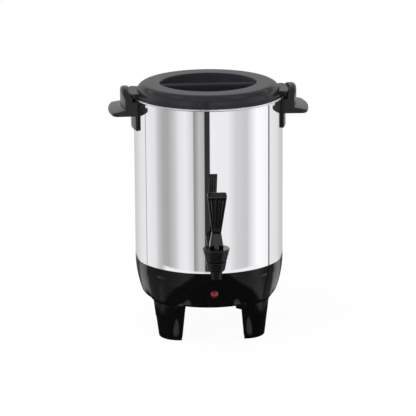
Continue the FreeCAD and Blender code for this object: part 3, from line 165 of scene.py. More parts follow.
def finish(name, base, metallic=0.0, roughness=0.5, rough_by=0.0, grain=0.0, grain_scale=900.0,
           tint=0.06, stretch=(1, 1, 1), waves=0.0, waves_scale=9.0, vary=None, **sockets):
    """A surface finish: a colour with faint clouds in it, a gloss that drifts, and a fine grain.
    vary(board, inputs) may change what feeds the skin's sockets over the piece."""
    material = bpy.data.materials.new(name)
    board = Board(material)
    clouds = board.noise(38.0, 3.0, stretch)
    darker = tuple(c * (1 - tint) for c in base)
    lighter = tuple(min(1.0, c * (1 + tint)) for c in base)
    colour = board.colours(clouds, (*darker, 1), (*lighter, 1))
    gloss = roughness + rough_by * (board.noise(120.0, 4.0, stretch) - 0.5)
    inputs = {"Base Color": colour, "Metallic": metallic, "Roughness": gloss, **sockets}
    if vary:
        vary(board, inputs)
    normal = None
    if waves:
        wide = board.noise(waves_scale, 1.0, (1, 1, 0.35))
        normal = board.node("ShaderNodeBump", None, {"Strength": 1.0, "Distance": waves, "Height": wide})
    if grain:
        height = board.noise(grain_scale, 3.0, stretch)
        bump = {"Strength": 0.6, "Distance": grain, "Height": height}
        if normal:
            bump["Normal"] = normal.outputs[0]
        normal = board.node("ShaderNodeBump", None, bump)
    if normal:
        inputs["Normal"] = normal.outputs[0]
    skin = board.node("ShaderNodeBsdfPrincipled", None, inputs)
    board.node("ShaderNodeOutputMaterial", None, {"Surface": skin.outputs[0]})
    return material


def rounded(corners, closed=True, steps=7, hold=0.35):
    """A section in mm from its corners (r, z, round). Each corner becomes an arc of its radius,
    with a point held close on both sides of it, so that flats stay flat to the light."""
    points = []
    count = len(corners)
    for i, corner in enumerate(corners):
        at = np.array(corner[:2], float)
        radius = corner[2] if len(corner) > 2 else 0.0
        inside = closed or 0 < i < count - 1
        if radius <= 0 or not inside:
            points.append(at)
            continue
        back = np.array(corners[i - 1][:2], float) - at
        on = np.array(corners[(i + 1) % count][:2], float) - at
        back_length, on_length = np.hypot(*back), np.hypot(*on)
        back, on = back / back_length, on / on_length
        half = math.acos(np.clip(back @ on, -1, 1)) / 2
        reach = min(radius / math.tan(half), 0.49 * back_length, 0.49 * on_length)
        radius = reach * math.tan(half)
        middle = back + on
        centre = at + middle / np.hypot(*middle) * radius / math.sin(half)
        begin, end = at + back * reach, at + on * reach
        a0 = math.atan2(*(begin - centre)[::-1])
        a1 = math.atan2(*(end - centre)[::-1])
        sweep = (a1 - a0 + math.pi) % (2 * math.pi) - math.pi
        angles = a0 + sweep * np.linspace(0, 1, steps)
        points.append(at + back * min(reach + hold, 0.5 * (reach + back_length)))
        points.extend(centre + radius * np.stack([np.cos(angles), np.sin(angles)], 1))
        points.append(at + on * min(reach + hold, 0.5 * (reach + on_length)))
    return np.array(points)


def grid_faces(grid, mask):
    """Points and quads of a grid; a mask as wide as the grid wraps it that way."""
    rows, columns = grid.shape[:2]
    r, c = np.nonzero(mask)
    r2, c2 = (r + 1) % rows, (c + 1) % columns
    corners = [r * columns + c, r * columns + c2, r2 * columns + c2, r2 * columns + c]
    return grid.reshape(-1, 3), np.stack(corners, -1)


def skin(name, grid, wrap_rows=True):
    """A mesh from a grid of points in metres, rows by columns, whose columns go right round."""
    rows, columns = grid.shape[:2]
    points, faces = grid_faces(grid, np.ones((rows if wrap_rows else rows - 1, columns), bool))
    return shell(name, points, faces.tolist())


def shell(name, points, faces, sharp=None):
    """A closed mesh object: doubles merged, faces outwards, smooth unless an angle is given."""
    mesh = bpy.data.meshes.new(name)
    mesh.from_pydata(points.tolist(), [], faces)
    tidy = bmesh.new()
    tidy.from_mesh(mesh)
    bmesh.ops.remove_doubles(tidy, verts=tidy.verts, dist=1e-7)
    bmesh.ops.recalc_face_normals(tidy, faces=tidy.faces)
    tidy.to_mesh(mesh)
    tidy.free()
    mesh.shade_smooth()
    if sharp:
        mesh.set_sharp_from_angle(angle=math.radians(sharp))
    piece = bpy.data.objects.new(name, mesh)
    bpy.context.scene.collection.objects.link(piece)
    return piece


def turned(name, section, sides, centre_y=0.0):
    """A section (r, z) in mm carried round an upright axis: x = r cos a, y = r sin a."""
    angle = np.linspace(0, 2 * math.pi, sides, endpoint=False)
    r, z = section[:, :1], section[:, 1:]
    grid = np.stack([r * np.cos(angle), centre_y + r * np.sin(angle), z + 0 * angle], -1) * MM
    return skin(name, grid)


def fitted(piece, body, slot, material, *nodes):
    """Give a piece its finish and its body, and hide the nodes that it stands for."""
    piece.data.materials.clear()
    piece.data.materials.append(material)
    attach(piece, body)
    if nodes:
        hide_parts(*nodes)
    return piece


CAN_R = 105.0
CAN_IN_R = 104.1
RIM_Z = 340.0
SEAM_Z = 105.0
FLOOR_Z = 114.5
WELL_Z = 102.5
SHEET = 1.2
RIM_OUT = 2.1
RIM_DEEP = 3.4
can_section = rounded([
    (0, WELL_Z - SHEET), (27, WELL_Z - SHEET, 2), (32.2, FLOOR_Z - SHEET, 2),
    (CAN_IN_R, FLOOR_Z - SHEET, 1), (CAN_IN_R, SEAM_Z + 0.3), (CAN_R, SEAM_Z + 0.3, 0.3),
    (CAN_R, RIM_Z - 3.3, 0.5), (CAN_R + RIM_OUT, RIM_Z - 2.9, 1.1), (CAN_R + RIM_OUT, RIM_Z, 1.4),
    (CAN_IN_R, RIM_Z, 1.4), (CAN_IN_R, FLOOR_Z, 5), (31, FLOOR_Z, 2), (25.8, WELL_Z, 2), (0, WELL_Z)])


def satin_rim(board, inputs):
    """The rolled rim is rougher than the wall below it."""
    rim = board.parts()[2].maths("GREATER_THAN", (RIM_Z - RIM_DEEP) * MM)
    inputs["Roughness"] = inputs["Roughness"] + 0.25 * rim


polished_steel = finish("polished_steel", (0.87, 0.862, 0.88), metallic=1.0, roughness=0.022,
                        rough_by=0.02, tint=0.012, stretch=(1, 1, 0.05), waves=0.00003, vary=satin_rim)
fitted(turned("can", can_section, 384), "urn", "polished_steel", polished_steel, "urn_body")


# The base. One glossy black moulding: a bowl that tucks in below the can, blended into four
# gutter-shaped legs. Every column of its grid runs from the seam down the outside, and a leg's
# columns go on to the floor, round its sole and up its hollow back.

BOWL_Z = 51.7
BOWL_ROUND = 9.0
LEG_WALL = 3.0
LEG_FACE = 29.5, 0.2307
LEG_CENTRE = 64.5, -0.1413
SOLE = 3.0
TOE = 82.2
LEG_BLEND = 8.0
BLEND_FADE = (84, 104)
LEG_BEARINGS = (45, 135, 225, 315)


def circle_through(a, b, c):
    """Centre and radius of the circle through three points."""
    a, b, c = (np.array(p, float) for p in (a, b, c))
    system = 2 * np.array([b - a, c - a])
    centre = np.linalg.solve(system, [b @ b - a @ a, c @ c - a @ a])
    return centre, np.hypot(*(a - centre))


bowl_centre, bowl_arc = circle_through((94.0, BOWL_Z), (102.4, SEAM_Z - 25), (CAN_R, SEAM_Z))
edge_z = BOWL_Z + BOWL_ROUND
edge_r = bowl_centre[0] + math.sqrt((bowl_arc - BOWL_ROUND) ** 2 - (edge_z - bowl_centre[1]) ** 2)
edge_share = bowl_arc / (bowl_arc - BOWL_ROUND)
round_top = bowl_centre[1] + (edge_z - bowl_centre[1]) * edge_share


def bowl_radius(z):
    """The bowl's outside by height: one arc, rolled into the underside by a small round."""
    side = bowl_centre[0] + np.sqrt(bowl_arc ** 2 - (z - bowl_centre[1]) ** 2)
    roll = edge_r + np.sqrt(np.maximum(BOWL_ROUND ** 2 - (z - edge_z) ** 2, 0))
    return np.where(z > round_top, side, roll)


def leg_round(z):
    """Radius of a leg's round face at a height, and how far its centre is from the axis. Each is
    its value at the floor plus a share of the height."""
    return LEG_FACE[0] + LEG_FACE[1] * z, LEG_CENTRE[0] + LEG_CENTRE[1] * z


def leg_radius(bearing, z, inset=0.0):
    """Distance of a leg's face from the axis, at a bearing from the leg's middle."""
    radius, centre = leg_round(z)
    across = centre * np.sin(bearing)
    return centre * np.cos(bearing) + np.sqrt(np.maximum((radius - inset) ** 2 - across ** 2, 0))


def leg_half(z):
    """Bearing of a leg's side edge, where its round has turned an eighth of a circle."""
    radius, centre = leg_round(z)
    side = radius * math.sqrt(0.5)
    return np.arctan2(side, centre + side)


def smooth(value, low, high):
    """0 below low, 1 above high, smooth between."""
    share = np.clip((value - low) / (high - low), 0, 1)
    return share * share * (3 - 2 * share)


def blended(a, b, width):
    """The larger of two surfaces, with the crease between them filled over a width."""
    near = np.maximum(width - np.abs(a - b), 0) / width
    return np.maximum(a, b) + near ** 2 * width / 4


def polar(bearing, r, z):
    """Points in metres from a bearing, a radius and a height in mm."""
    bearing, r, z = np.broadcast_arrays(bearing, r, z)
    return np.stack([r * np.cos(bearing), r * np.sin(bearing), z], -1) * MM


BASE_INSIDE = rounded([
    (78.3, BOWL_Z, 0.3), (78.3, BOWL_Z + 1.5), (71, BOWL_Z + 1.5, 0.3), (71, BOWL_Z + 2.8),
    (84, BOWL_Z + 2.8, 5), (95, 62, 5), (99.6, 80, 8), (101.6, 97), (101.6, SEAM_Z + 5.5),
    (103.8, SEAM_Z + 5.5), (103.8, SEAM_Z), (CAN_R - 0.3, SEAM_Z)], closed=False, steps=4)
LEG_STEPS = np.linspace(-1, 1, 33)
GAP_STEPS = np.linspace(0, 1, 29)


def base_columns():
    """Bearings of the bowl's columns, and each one's bearing from its leg, or nan between legs."""
    half = float(leg_half(BOWL_Z))
    bearings, spans = [], []
    for middle in np.radians(LEG_BEARINGS):
        bearings += [middle + half * LEG_STEPS, middle + half + GAP_STEPS * (math.pi / 2 - 2 * half)]
        spans += [half * LEG_STEPS, np.full(len(GAP_STEPS), np.nan)]
    return np.concatenate(bearings), np.concatenate(spans)


def bowl_part():
    """The bowl: down its outside from the seam, in under its edge, and up its inside. Its edge is
    left open over each leg, whose own grid goes on from there."""
    bearings, spans = base_columns()
    on_leg = ~np.isnan(spans)
    spans = np.where(on_leg, spans, 0)
    drop = 1 - np.cos(np.linspace(0, math.pi / 2, 22))
    rows = np.concatenate([np.linspace(SEAM_Z, round_top, 40)[:-1],
                           BOWL_Z + (round_top - BOWL_Z) * drop[::-1]])
    z = rows[:, None] + 0 * bearings
    bowl = bowl_radius(z)
    width = LEG_BLEND * (1 - 0.95 * smooth(z, *BLEND_FADE))
    outside = np.where(on_leg, blended(bowl, leg_radius(spans, z), width), bowl)
    under = np.where(on_leg, leg_radius(spans, BOWL_Z, LEG_WALL), bowl_radius(np.array(BOWL_Z)))
    grid = np.concatenate([polar(bearings, outside, z), polar(bearings, under, BOWL_Z)[None],
                           polar(bearings, BASE_INSIDE[:, :1], BASE_INSIDE[:, 1:])])
    mask = np.ones(grid.shape[:2], bool)
    mask[len(rows) - 1] = ~(on_leg & np.roll(on_leg, -1))
    return grid_faces(grid, mask)


def leg_parts(middle):
    """A leg below the bowl: face, sole and hollow back in one grid, then its two side edges. The
    face's last millimetre is a quarter round."""
    low = np.concatenate([np.linspace(BOWL_Z, 1.0, 24), [0.6, 0.29, 0.08, 0.0]])
    inset = np.concatenate([np.zeros(24), [0.08, 0.29, 0.6, 1.0]])
    span = leg_half(low)[:, None] * LEG_STEPS
    face = polar(middle + span, leg_radius(span, low[:, None], inset[:, None]), low[:, None])
    span = leg_half(np.array(0.0)) * LEG_STEPS
    toe, heel = TOE / np.cos(span), leg_radius(span, SOLE, LEG_WALL)
    sole = np.stack([polar(middle + span, r, z) for r, z in ((toe, 0.0), (toe, SOLE), (heel, SOLE))])
    up = np.linspace(SOLE, BOWL_Z, 20)[1:]
    span = leg_half(up)[:, None] * LEG_STEPS
    back = polar(middle + span, leg_radius(span, up[:, None], LEG_WALL), up[:, None])
    grid = np.concatenate([face, sole, back])
    parts = [grid_faces(grid, np.ones((len(grid) - 1, len(LEG_STEPS) - 1), bool))]
    rise = np.concatenate([[0.0, SOLE], up]) * MM
    for edge in (0, -1):
        outer = face[::-1, edge]
        match = np.stack([np.interp(rise, outer[:, 2], outer[:, axis]) for axis in range(3)], 1)
        wall = np.concatenate([sole[[0, 2], edge], back[:, edge]])
        parts.append(grid_faces(np.stack([match, wall]), np.ones((1, len(wall) - 1), bool)))
    return parts


def base_mesh():
    """The bowl and its four legs, joined into the one moulding."""
    parts = [bowl_part()]
    for middle in np.radians(LEG_BEARINGS):
        parts += leg_parts(middle)
    starts = np.cumsum([0] + [len(points) for points, faces in parts[:-1]])
    faces = np.concatenate([faces + start for (points, faces), start in zip(parts, starts)])
    return shell("base", np.concatenate([points for points, faces in parts]), faces.tolist(), sharp=42)


base_black = finish("base_black", (0.0030, 0.0029, 0.0034), roughness=0.05, rough_by=0.03, tint=0.1,
                    waves=0.00002, waves_scale=14.0)
fitted(base_mesh(), "urn", "base_plastic", base_black, "base_housing")


# The lid. A dark grey moulding: a brim on the can's rim, a side rolled over into a flat top, a
# pointed oval finger recess with a bar across it, and a lug at each handle.

LID_Z = RIM_Z + 0.3
LID_TOP = RIM_Z + 16
RECESS_DEEP = 14.5
RECESS_LONG = 68.5
RECESS_WIDE = 62.5
THIN_COAT_WITHIN = 72
DRAFT = 4.0
LID_WALL = 2.4
SIDE_FOOT = 4.5
MOUTH_ROUND = 1.2
FOOT_ROUND = 1.6
TOP_R = 84
SIDE_R, SIDE_ROUND = 87, 13.6
UNDER_R, UNDER_ROUND = 86.4, 11.8
CROWDING = 0.35
lid_arc = (RECESS_LONG ** 2 + RECESS_WIDE ** 2) / (2 * RECESS_WIDE)
lid_shift = lid_arc - RECESS_WIDE


def oval_radius(bearing, grow):
    """The pointed oval of two arcs, by bearing, moved outwards along its normal by grow."""
    across = lid_shift * np.abs(np.sin(bearing))
    return -across + np.sqrt(across ** 2 - lid_shift ** 2 + (lid_arc + grow) ** 2)


def lid_mesh():
    """Rings round the Z axis, whose points crowd towards the recess's two tips: the turned outside,
    ovals (grow, z, share of the radius) down the recess and back under it, then the underside."""
    quarter = np.linspace(0, math.pi / 2, 97)
    away = (quarter - CROWDING * np.sin(2 * quarter) / 2)[:-1]
    near = quarter[:-1] + CROWDING * np.sin(2 * quarter[:-1]) / 2
    bearing = np.concatenate([away, math.pi / 2 + near, math.pi + away, 3 * math.pi / 2 + near])
    roll = np.linspace(0, math.pi / 2, 15)
    rise = LID_TOP - LID_Z - SIDE_FOOT
    side = [(SIDE_R + SIDE_ROUND * math.cos(a), LID_Z + SIDE_FOOT + rise * math.sin(a)) for a in roll]
    brim = rounded([
        (101.7, LID_Z - 8, 0.4), (103.5, LID_Z - 8, 0.4), (103.5, LID_Z - 0.2), (104.8, LID_Z, 0.3),
        (104.8, LID_Z + 2.4, 1.0), (101.4, LID_Z + 2.4, 0.8), side[0]], closed=False, steps=6)
    outside = np.concatenate([brim, side[1:], [(TOP_R, LID_TOP)]])
    foot_z = LID_TOP - RECESS_DEEP
    turn = np.linspace(0, math.pi / 2, 7)
    ovals = [(2.2, LID_TOP, 1)]
    ovals += [(MOUTH_ROUND * (1 - math.sin(a)), LID_TOP - MOUTH_ROUND * (1 - math.cos(a)), 1)
              for a in turn]
    ovals += [(-DRAFT * down, LID_TOP - RECESS_DEEP * down, 1) for down in np.linspace(0.1, 0.86, 6)]
    ovals += [(-DRAFT - FOOT_ROUND * (1 - math.cos(a)), foot_z + FOOT_ROUND * (1 - math.sin(a)), 1)
              for a in turn]
    ovals += [(-DRAFT - 2, foot_z, share) for share in (0.96, 0.7, 0.4, 0.0)]
    ovals += [(-DRAFT + 2, foot_z - LID_WALL, share) for share in (0.0, 0.5, 0.97)]
    ovals += [(LID_WALL - DRAFT * down, LID_TOP - RECESS_DEEP * down - LID_WALL, 1)
              for down in (0.9, 0.1)]
    under = [(TOP_R, LID_TOP - LID_WALL)]
    under += [(UNDER_R + UNDER_ROUND * math.cos(a), LID_Z + SIDE_FOOT + (rise - LID_WALL) * math.sin(a))
              for a in roll[::-1]]
    under += [(100.1, LID_Z + 0.6), (101.7, LID_Z - 0.2)]
    rings = [polar(bearing, r, z) for r, z in outside]
    rings += [polar(bearing, share * oval_radius(bearing, grow), z) for grow, z, share in ovals]
    rings += [polar(bearing, r, z) for r, z in under]
    return skin("lid", np.stack(rings))


def capped(grid):
    """Points and faces of a bar: its rows go round it, its columns along it, its ends are flat."""
    rows, columns = grid.shape[:2]
    points, faces = grid_faces(grid, np.ones((rows, columns - 1), bool))
    ring = np.arange(rows) * columns
    return points, faces.tolist() + [ring.tolist(), (ring + columns - 1).tolist()[::-1]]


def arc_block(section, half_deg, columns, shape):
    """A section in mm carried along an arc about the Z axis, with flat ends; shape(bearing, r, z)
    moves its points. It lies round +X."""
    bearing = np.radians(np.linspace(-half_deg, half_deg, columns))
    r, z = shape(bearing, section[:, :1] + 0 * bearing, section[:, 1:] + 0 * bearing)
    return capped(polar(bearing, r, z))


def softened(piece, width, segments=3, angle=40):
    """Round the edges that an end cap leaves sharp."""
    edge = piece.modifiers.new("soft_edges", "BEVEL")
    edge.width = width * MM
    edge.segments = segments
    edge.limit_method = "ANGLE"
    edge.angle_limit = math.radians(angle)
    edge.harden_normals = True


def recess_thin_coat(board, inputs):
    """The coat is thinner inside the finger recess than on the lid's top and side, which makes the recess
    darker.
    """
    x, y, z = board.parts()
    inside = (x * x + y * y).maths("LESS_THAN", (THIN_COAT_WITHIN * MM) ** 2)
    sunk = inside * z.maths("LESS_THAN", (LID_TOP - 1.0) * MM)
    inputs["Coat Weight"] = 0.50 - 0.44 * sunk


lid_grey = finish("lid_grey", (0.019, 0.018, 0.0215), roughness=0.5, rough_by=0.05, tint=0.05,
                  grain=0.000004, vary=recess_thin_coat, **{"IOR": 1.04, "Coat Roughness": 0.16})
fitted(lid_mesh(), "cover", "cover_plastic", lid_grey, "cover")

BAR_HALF = 6.5
BAR_WAIST = 0.35
BAR_ROUND = 2.5
BAR_LONG, BAR_LEAN = 61.5, 4.5


def bar_mesh():
    """The bar: a rounded section across Y and Z, carried along X and waisted at its middle. Its ends
    lean outwards with the recess's wall."""
    along = np.linspace(-1, 1, 61)
    half = BAR_HALF * (1 + BAR_WAIST * along ** 2)
    turn = np.linspace(0, math.pi / 2, 8)[:, None]
    low, high = LID_TOP - RECESS_DEEP - 1, LID_TOP - LID_WALL
    front = np.concatenate([half[None], half - BAR_ROUND * (1 - np.cos(turn))])
    rise = np.concatenate([[low + 0 * half], high - BAR_ROUND * (1 - np.sin(turn)) + 0 * half])
    y = np.concatenate([front, -front[::-1]])
    z = np.concatenate([rise, rise[::-1]])
    x = along * (BAR_LONG + BAR_LEAN * (z - low) / (high - low))
    return shell("lid_bar", *capped(np.stack([x, y, z], -1) * MM), sharp=50)


fitted(bar_mesh(), "cover", "cover_plastic", lid_grey)

LUG_IN_R = 99.8
LUG_OUT_R = 113.8
LUG_Z = RIM_Z + 6.5
LUG_HALF_DEG = 15
LUG_CORNER = 4.0
LUG_SECTION = rounded([
    (LUG_IN_R, LID_Z), (LUG_OUT_R, LID_Z, 0.8), (LUG_OUT_R, LUG_Z, 1.6), (LUG_IN_R, LUG_Z)])


def lug_shape(bearing, r, z):
    """Round the lug's two outer corners in plan."""
    from_end = (math.radians(LUG_HALF_DEG) - np.abs(bearing)) * LUG_OUT_R
    cut = np.maximum(LUG_CORNER - from_end, 0)
    pull = LUG_CORNER - np.sqrt(np.maximum(LUG_CORNER ** 2 - cut ** 2, 0))
    return r - np.where(r > CAN_R, pull, 0) * (r - CAN_R) / (LUG_OUT_R - CAN_R), z


for lug_name, side in (("lid_lug_right", 1), ("lid_lug_left", -1)):
    lug_points, lug_faces = arc_block(LUG_SECTION, LUG_HALF_DEG, 60, lug_shape)
    lug = shell(lug_name, lug_points * (side, 1, 1), lug_faces, sharp=50)
    fitted(lug, "cover", "cover_plastic", lid_grey)


# The handles. Dark satin mouldings, left and right: a tail down the can's side, a flat wing to
# lift by, and a crowned tower round the pocket that the lid's lug drops into.

WING_R = 141
TOWER_R = 124
WING_CORNER = 8.0
CROWN_R = 75.0
CROWN_AT = 119
TOWER_Z = RIM_Z + 12
POCKET_Z = RIM_Z - 4
POCKET_R = 114.6
TAIL_R = 109
TAIL_Z = RIM_Z - 45
HANDLE_IN_R = 105.3
HANDLE_HALF_DEG = 18
HANDLE_SECTION = rounded([
    (HANDLE_IN_R, TAIL_Z, 0.6), (TAIL_R, TAIL_Z, 3), (TAIL_R, RIM_Z - 24, 1.5),
    (WING_R, RIM_Z - 22.5, 1.6), (WING_R, RIM_Z - 18, 1.6), (TOWER_R, RIM_Z - 15, 2.5),
    (TOWER_R, TOWER_Z, 5), (POCKET_R, TOWER_Z, 1.2), (POCKET_R, POCKET_Z, 0.6),
    (HANDLE_IN_R, POCKET_Z, 0.6)])


def handle_shape(bearing, r, z):
    """Round the wing's corners in plan, and crown the tower's top across Y."""
    from_end = (math.radians(HANDLE_HALF_DEG) - np.abs(bearing)) * WING_R
    cut = np.maximum(WING_CORNER - from_end, 0)
    pull = WING_CORNER - np.sqrt(np.maximum(WING_CORNER ** 2 - cut ** 2, 0))
    reach = WING_R - TOWER_R
    r = np.where(r > TOWER_R, TOWER_R + (r - TOWER_R) * (reach - pull) / reach, r)
    crown = CROWN_R - np.sqrt(CROWN_R ** 2 - (CROWN_AT * np.sin(bearing)) ** 2)
    return r, z - crown * np.clip((z - POCKET_Z) / (TOWER_Z - POCKET_Z), 0, 1)


handle_black = finish("handle_black", (0.0065, 0.0063, 0.0075), roughness=0.25, rough_by=0.06,
                      tint=0.06, grain=0.000004, **{"IOR": 1.40})
for side_name, side in (("right", 1), ("left", -1)):
    handle_points, handle_faces = arc_block(HANDLE_SECTION, HANDLE_HALF_DEG, 90, handle_shape)
    handle = shell("handle_" + side_name, handle_points * (side, 1, 1), handle_faces, sharp=50)
    softened(handle, 1.2)
    fitted(handle, "urn", "handle_plastic", handle_black, side_name + "_handle")


# The tap. Glossy black mouldings: a barrel with its spout, a flared bonnet screwed over it and a
# paddle lever with a forked cam foot stand on one upright axis in front of the can. A level arm
# joins the barrel to the can's wall.

TAP_Y = -141.0
BONNET_Z = 153.3
SHANK_Z = 128.0
HINGE_Z = 158.42
tap_black = finish("tap_black", (0.0075, 0.0072, 0.0085), roughness=0.16, rough_by=0.05, tint=0.1)
lever_black = finish("lever_black", (0.0040, 0.0038, 0.0046), roughness=0.09, rough_by=0.03, tint=0.1)
BARREL = rounded([
    (5, 109.2, 0.4), (7.0, 109.2, 0.5), (8.5, 120.8, 0.6), (10.2, 120.8, 0.5), (11.8, 122.4, 1.2),
    (14.3, 134.0, 0.4), (13.0, 134.6), (10.4, 134.6), (10.4, 146.1), (8.6, 146.1), (8.6, 123), (5, 123)])
fitted(turned("tap_barrel", BARREL, 128, TAP_Y), "urn", "black_plastic", tap_black, "faucet_body")
BONNET = rounded([
    (10.5, 135.1), (13.1, 135.1), (14.5, 135.9, 0.4), (18.7, BONNET_Z - 0.9, 0.7), (17.8, BONNET_Z, 0.5),
    (3.05, BONNET_Z, 0.3), (3.05, BONNET_Z - 3), (10.5, BONNET_Z - 3)])
fitted(turned("tap_bonnet", BONNET, 128, TAP_Y), "urn", "black_plastic", tap_black, "faucet_bonnet")


def lying(name, section, sides=96):
    """A section (r, y) in mm carried round the shank's axis, which runs from front to back."""
    angle = np.linspace(0, 2 * math.pi, sides, endpoint=False)
    r, y = section[:, :1], section[:, 1:]
    grid = np.stack([r * np.cos(angle), y + 0 * angle, SHANK_Z + r * np.sin(angle)], -1) * MM
    return skin(name, grid)


ARM = rounded([
    (4, -136), (6.8, -136), (7.6, -112, 1.0), (11, -110.8, 0.5), (11, -107.8, 0.4), (6.6, -107.8),
    (6.6, -91.1, 0.5), (4, -91.1)])
fitted(lying("tap_arm", ARM), "urn", "black_plastic", tap_black)

LEVER_LEAN = math.radians(15)
CAM_Y, CAM_Z = -2.515, 2.744
CAM_R = 7.0
LEVER_END = 79.0
LEVER_FOOT = -4.3
NECK_AT = 19.5
NECK_HALF = 6.4
FAN = 7.2
BELL = 3.6
LEVER_DEEP = 5.0
FOOT_DEEPER = 1.9
TOP_DEEPER = 1.5
LEVER_CORNER = 2.4
TOP_ROUND = 2.2
GRIP_FROM = 5.1
GROOVES = (-0.62, 0.0, 0.62)
GROOVE_HALF = 0.26


def lean(points):
    """Tip points in mm about the lever's pin, outwards from the can, and place them."""
    x, y, z = points[..., 0], points[..., 1], points[..., 2]
    out = y * math.cos(LEVER_LEAN) - z * math.sin(LEVER_LEAN)
    up = y * math.sin(LEVER_LEAN) + z * math.cos(LEVER_LEAN)
    return np.stack([x, TAP_Y + out, HINGE_Z + up], -1) * MM


def flare(z):
    """Half width of the lever at a height from its pin: a bell down to the foot, a fan up."""
    up = (z - NECK_AT) / (LEVER_END - NECK_AT)
    down = (NECK_AT - z) / (NECK_AT - LEVER_FOOT)
    return NECK_HALF + np.where(z > NECK_AT, FAN * up, BELL * np.clip(down, 0, 1) ** 0.9)


def lever_mesh():
    """The grip: rounded rectangles along the lever, with three grooves front and back whose V
    grows from nothing at the neck to its full width under the top."""
    straight = LEVER_END - TOP_ROUND
    z = np.concatenate([np.linspace(GRIP_FROM, NECK_AT, 24), np.linspace(NECK_AT, straight, 72)[1:]])
    cap = np.linspace(0, math.pi / 2, 7)[1:]
    shrink = np.concatenate([np.zeros(len(z)), 2.0 * (1 - np.cos(cap))])
    z = np.concatenate([z, straight + TOP_ROUND * np.sin(cap)])
    foot = np.clip((NECK_AT - z) / (NECK_AT - 5), 0, 1) ** 1.3
    high = np.clip((z - NECK_AT) / (LEVER_END - NECK_AT), 0, 1)
    wide = (flare(z) - shrink)[:, None]
    deep = (LEVER_DEEP + FOOT_DEEPER * foot + TOP_DEEPER * high - shrink)[:, None]
    side = np.linspace(-1, 1, 97)
    groove = sum(np.clip(1 - np.abs(side - at) / GROOVE_HALF, 0, 1) for at in GROOVES)
    fade = np.clip(high * 7, 0, 1) * np.clip((LEVER_END - 3 - z) / 4, 0, 1)
    groove = (fade * (0.9 + 1.3 * high))[:, None] * groove
    turn = np.linspace(0, math.pi / 2, 9)[1:-1]
    flat = side * (wide - LEVER_CORNER)
    round_x = wide - LEVER_CORNER + LEVER_CORNER * np.sin(turn)
    round_y = LEVER_CORNER * np.cos(turn) - LEVER_CORNER + deep
    edge_y = deep - LEVER_CORNER
    x = np.concatenate([flat, round_x, wide, wide, round_x[:, ::-1]], 1)
    x = np.concatenate([x, -x], 1)
    front = np.concatenate([groove - deep, -round_y, -edge_y, edge_y, round_y[:, ::-1]], 1)
    y = np.concatenate([front, -front], 1) + (CAM_Y * foot)[:, None]
    grid = lean(np.stack([x, y, z[:, None] + 0 * x], -1))
    return shell("lever_grip", *capped(grid.swapaxes(0, 1)), sharp=28)


fitted(lever_mesh(), "lever", "black_plastic", lever_black, "faucet_handle")


CHEEK_IN, CHEEK_OUT = 3.35, 9.6
CHEEK_MIDDLE = 5


def cheek_mesh(name, side, sides=96):
    """One half of the forked foot: a disc turned about a level axis across the tap, its outer
    face drawn out to the lever's bell."""
    section = rounded([(0, CHEEK_IN), (CAM_R, CHEEK_IN, 0.3), (CAM_R, CHEEK_OUT, 1.0), (0, CHEEK_OUT)])
    angle = np.linspace(0, 2 * math.pi, sides, endpoint=False)
    r, x = section[:, :1], section[:, 1:]
    z = CAM_Z + r * np.sin(angle)
    x = np.where(x > CHEEK_MIDDLE, x + flare(z) - CHEEK_OUT, x)
    return skin(name, lean(np.stack([side * x, CAM_Y + r * np.cos(angle), z], -1)))


for side_name, side in (("right", 1), ("left", -1)):
    fitted(cheek_mesh("lever_cheek_" + side_name, side), "lever", "black_plastic", lever_black)


# The tap's spring. One steel wire coiled round the spindle, between the rubber cup and the bonnet.
# On the real tap it shortens by the cup's lift as the lever is pulled; here it keeps one length.

SPRING_R = 5.2
WIRE_R = 0.5
SPRING_TURNS = 5
spring_low, spring_high = (corner.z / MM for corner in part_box("faucet_spring"))
zinc_steel = finish("zinc_steel", (0.55, 0.55, 0.56), metallic=1.0, roughness=0.3, rough_by=0.1)


def spring_mesh():
    """The wire's round section carried along a helix, with a flat cap at each end."""
    turn = np.linspace(0, SPRING_TURNS, SPRING_TURNS * 36 + 1)
    rise = spring_low + WIRE_R + (spring_high - spring_low - 2 * WIRE_R) * turn / SPRING_TURNS
    round_wire = np.linspace(0, 2 * math.pi, 13)[:-1]
    out = SPRING_R + WIRE_R * np.cos(round_wire)[:, None]
    angle = 2 * math.pi * turn
    grid = np.stack([out * np.cos(angle), TAP_Y + out * np.sin(angle),
                     rise + WIRE_R * np.sin(round_wire)[:, None]], -1) * MM
    return shell("tap_spring", *capped(grid), sharp=50)


spring = fitted(spring_mesh(), "urn", "plain_steel", zinc_steel, "faucet_spring")
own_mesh(spring)


# The pilot light. A red jewel of clear moulded plastic, pressed into the bowl below the tap, with
# its lamp behind it.

LENS_Z = 75.8
LENS_R = 5.3
STEM_R = 4.6
STEM_LONG = 10
lens_tilt = math.asin((bowl_centre[1] - LENS_Z) / bowl_arc)
lens_r = float(bowl_radius(np.array(LENS_Z)))
DOME_FROM, DOME_HIGH = 1.3, 3.2
dome_r = (LENS_R ** 2 + DOME_HIGH ** 2) / (2 * DOME_HIGH)


def lens_mesh():
    """A dome of one round on a short flange, turned about the bowl's normal."""
    angles = np.linspace(math.asin(LENS_R / dome_r), 0, 24)
    crest = DOME_FROM + DOME_HIGH
    dome = [(dome_r * math.sin(a), crest - dome_r + dome_r * math.cos(a)) for a in angles]
    stem = [(0, -STEM_LONG), (STEM_R, -STEM_LONG), (STEM_R, 0.1), (LENS_R - 0.3, 0.1), (LENS_R, 0.4),
            (LENS_R, 1.25)]
    section = np.array(stem + dome)
    angle = np.linspace(0, 2 * math.pi, 96, endpoint=False)
    x = section[:, :1] * np.cos(angle)
    up = section[:, :1] * np.sin(angle)
    out = section[:, 1:] + 0 * angle
    y = -lens_r - out * math.cos(lens_tilt) + up * math.sin(lens_tilt)
    z = LENS_Z - out * math.sin(lens_tilt) + up * math.cos(lens_tilt)
    return skin("pilot_jewel", np.stack([x, y, z], -1) * MM, wrap_rows=False)


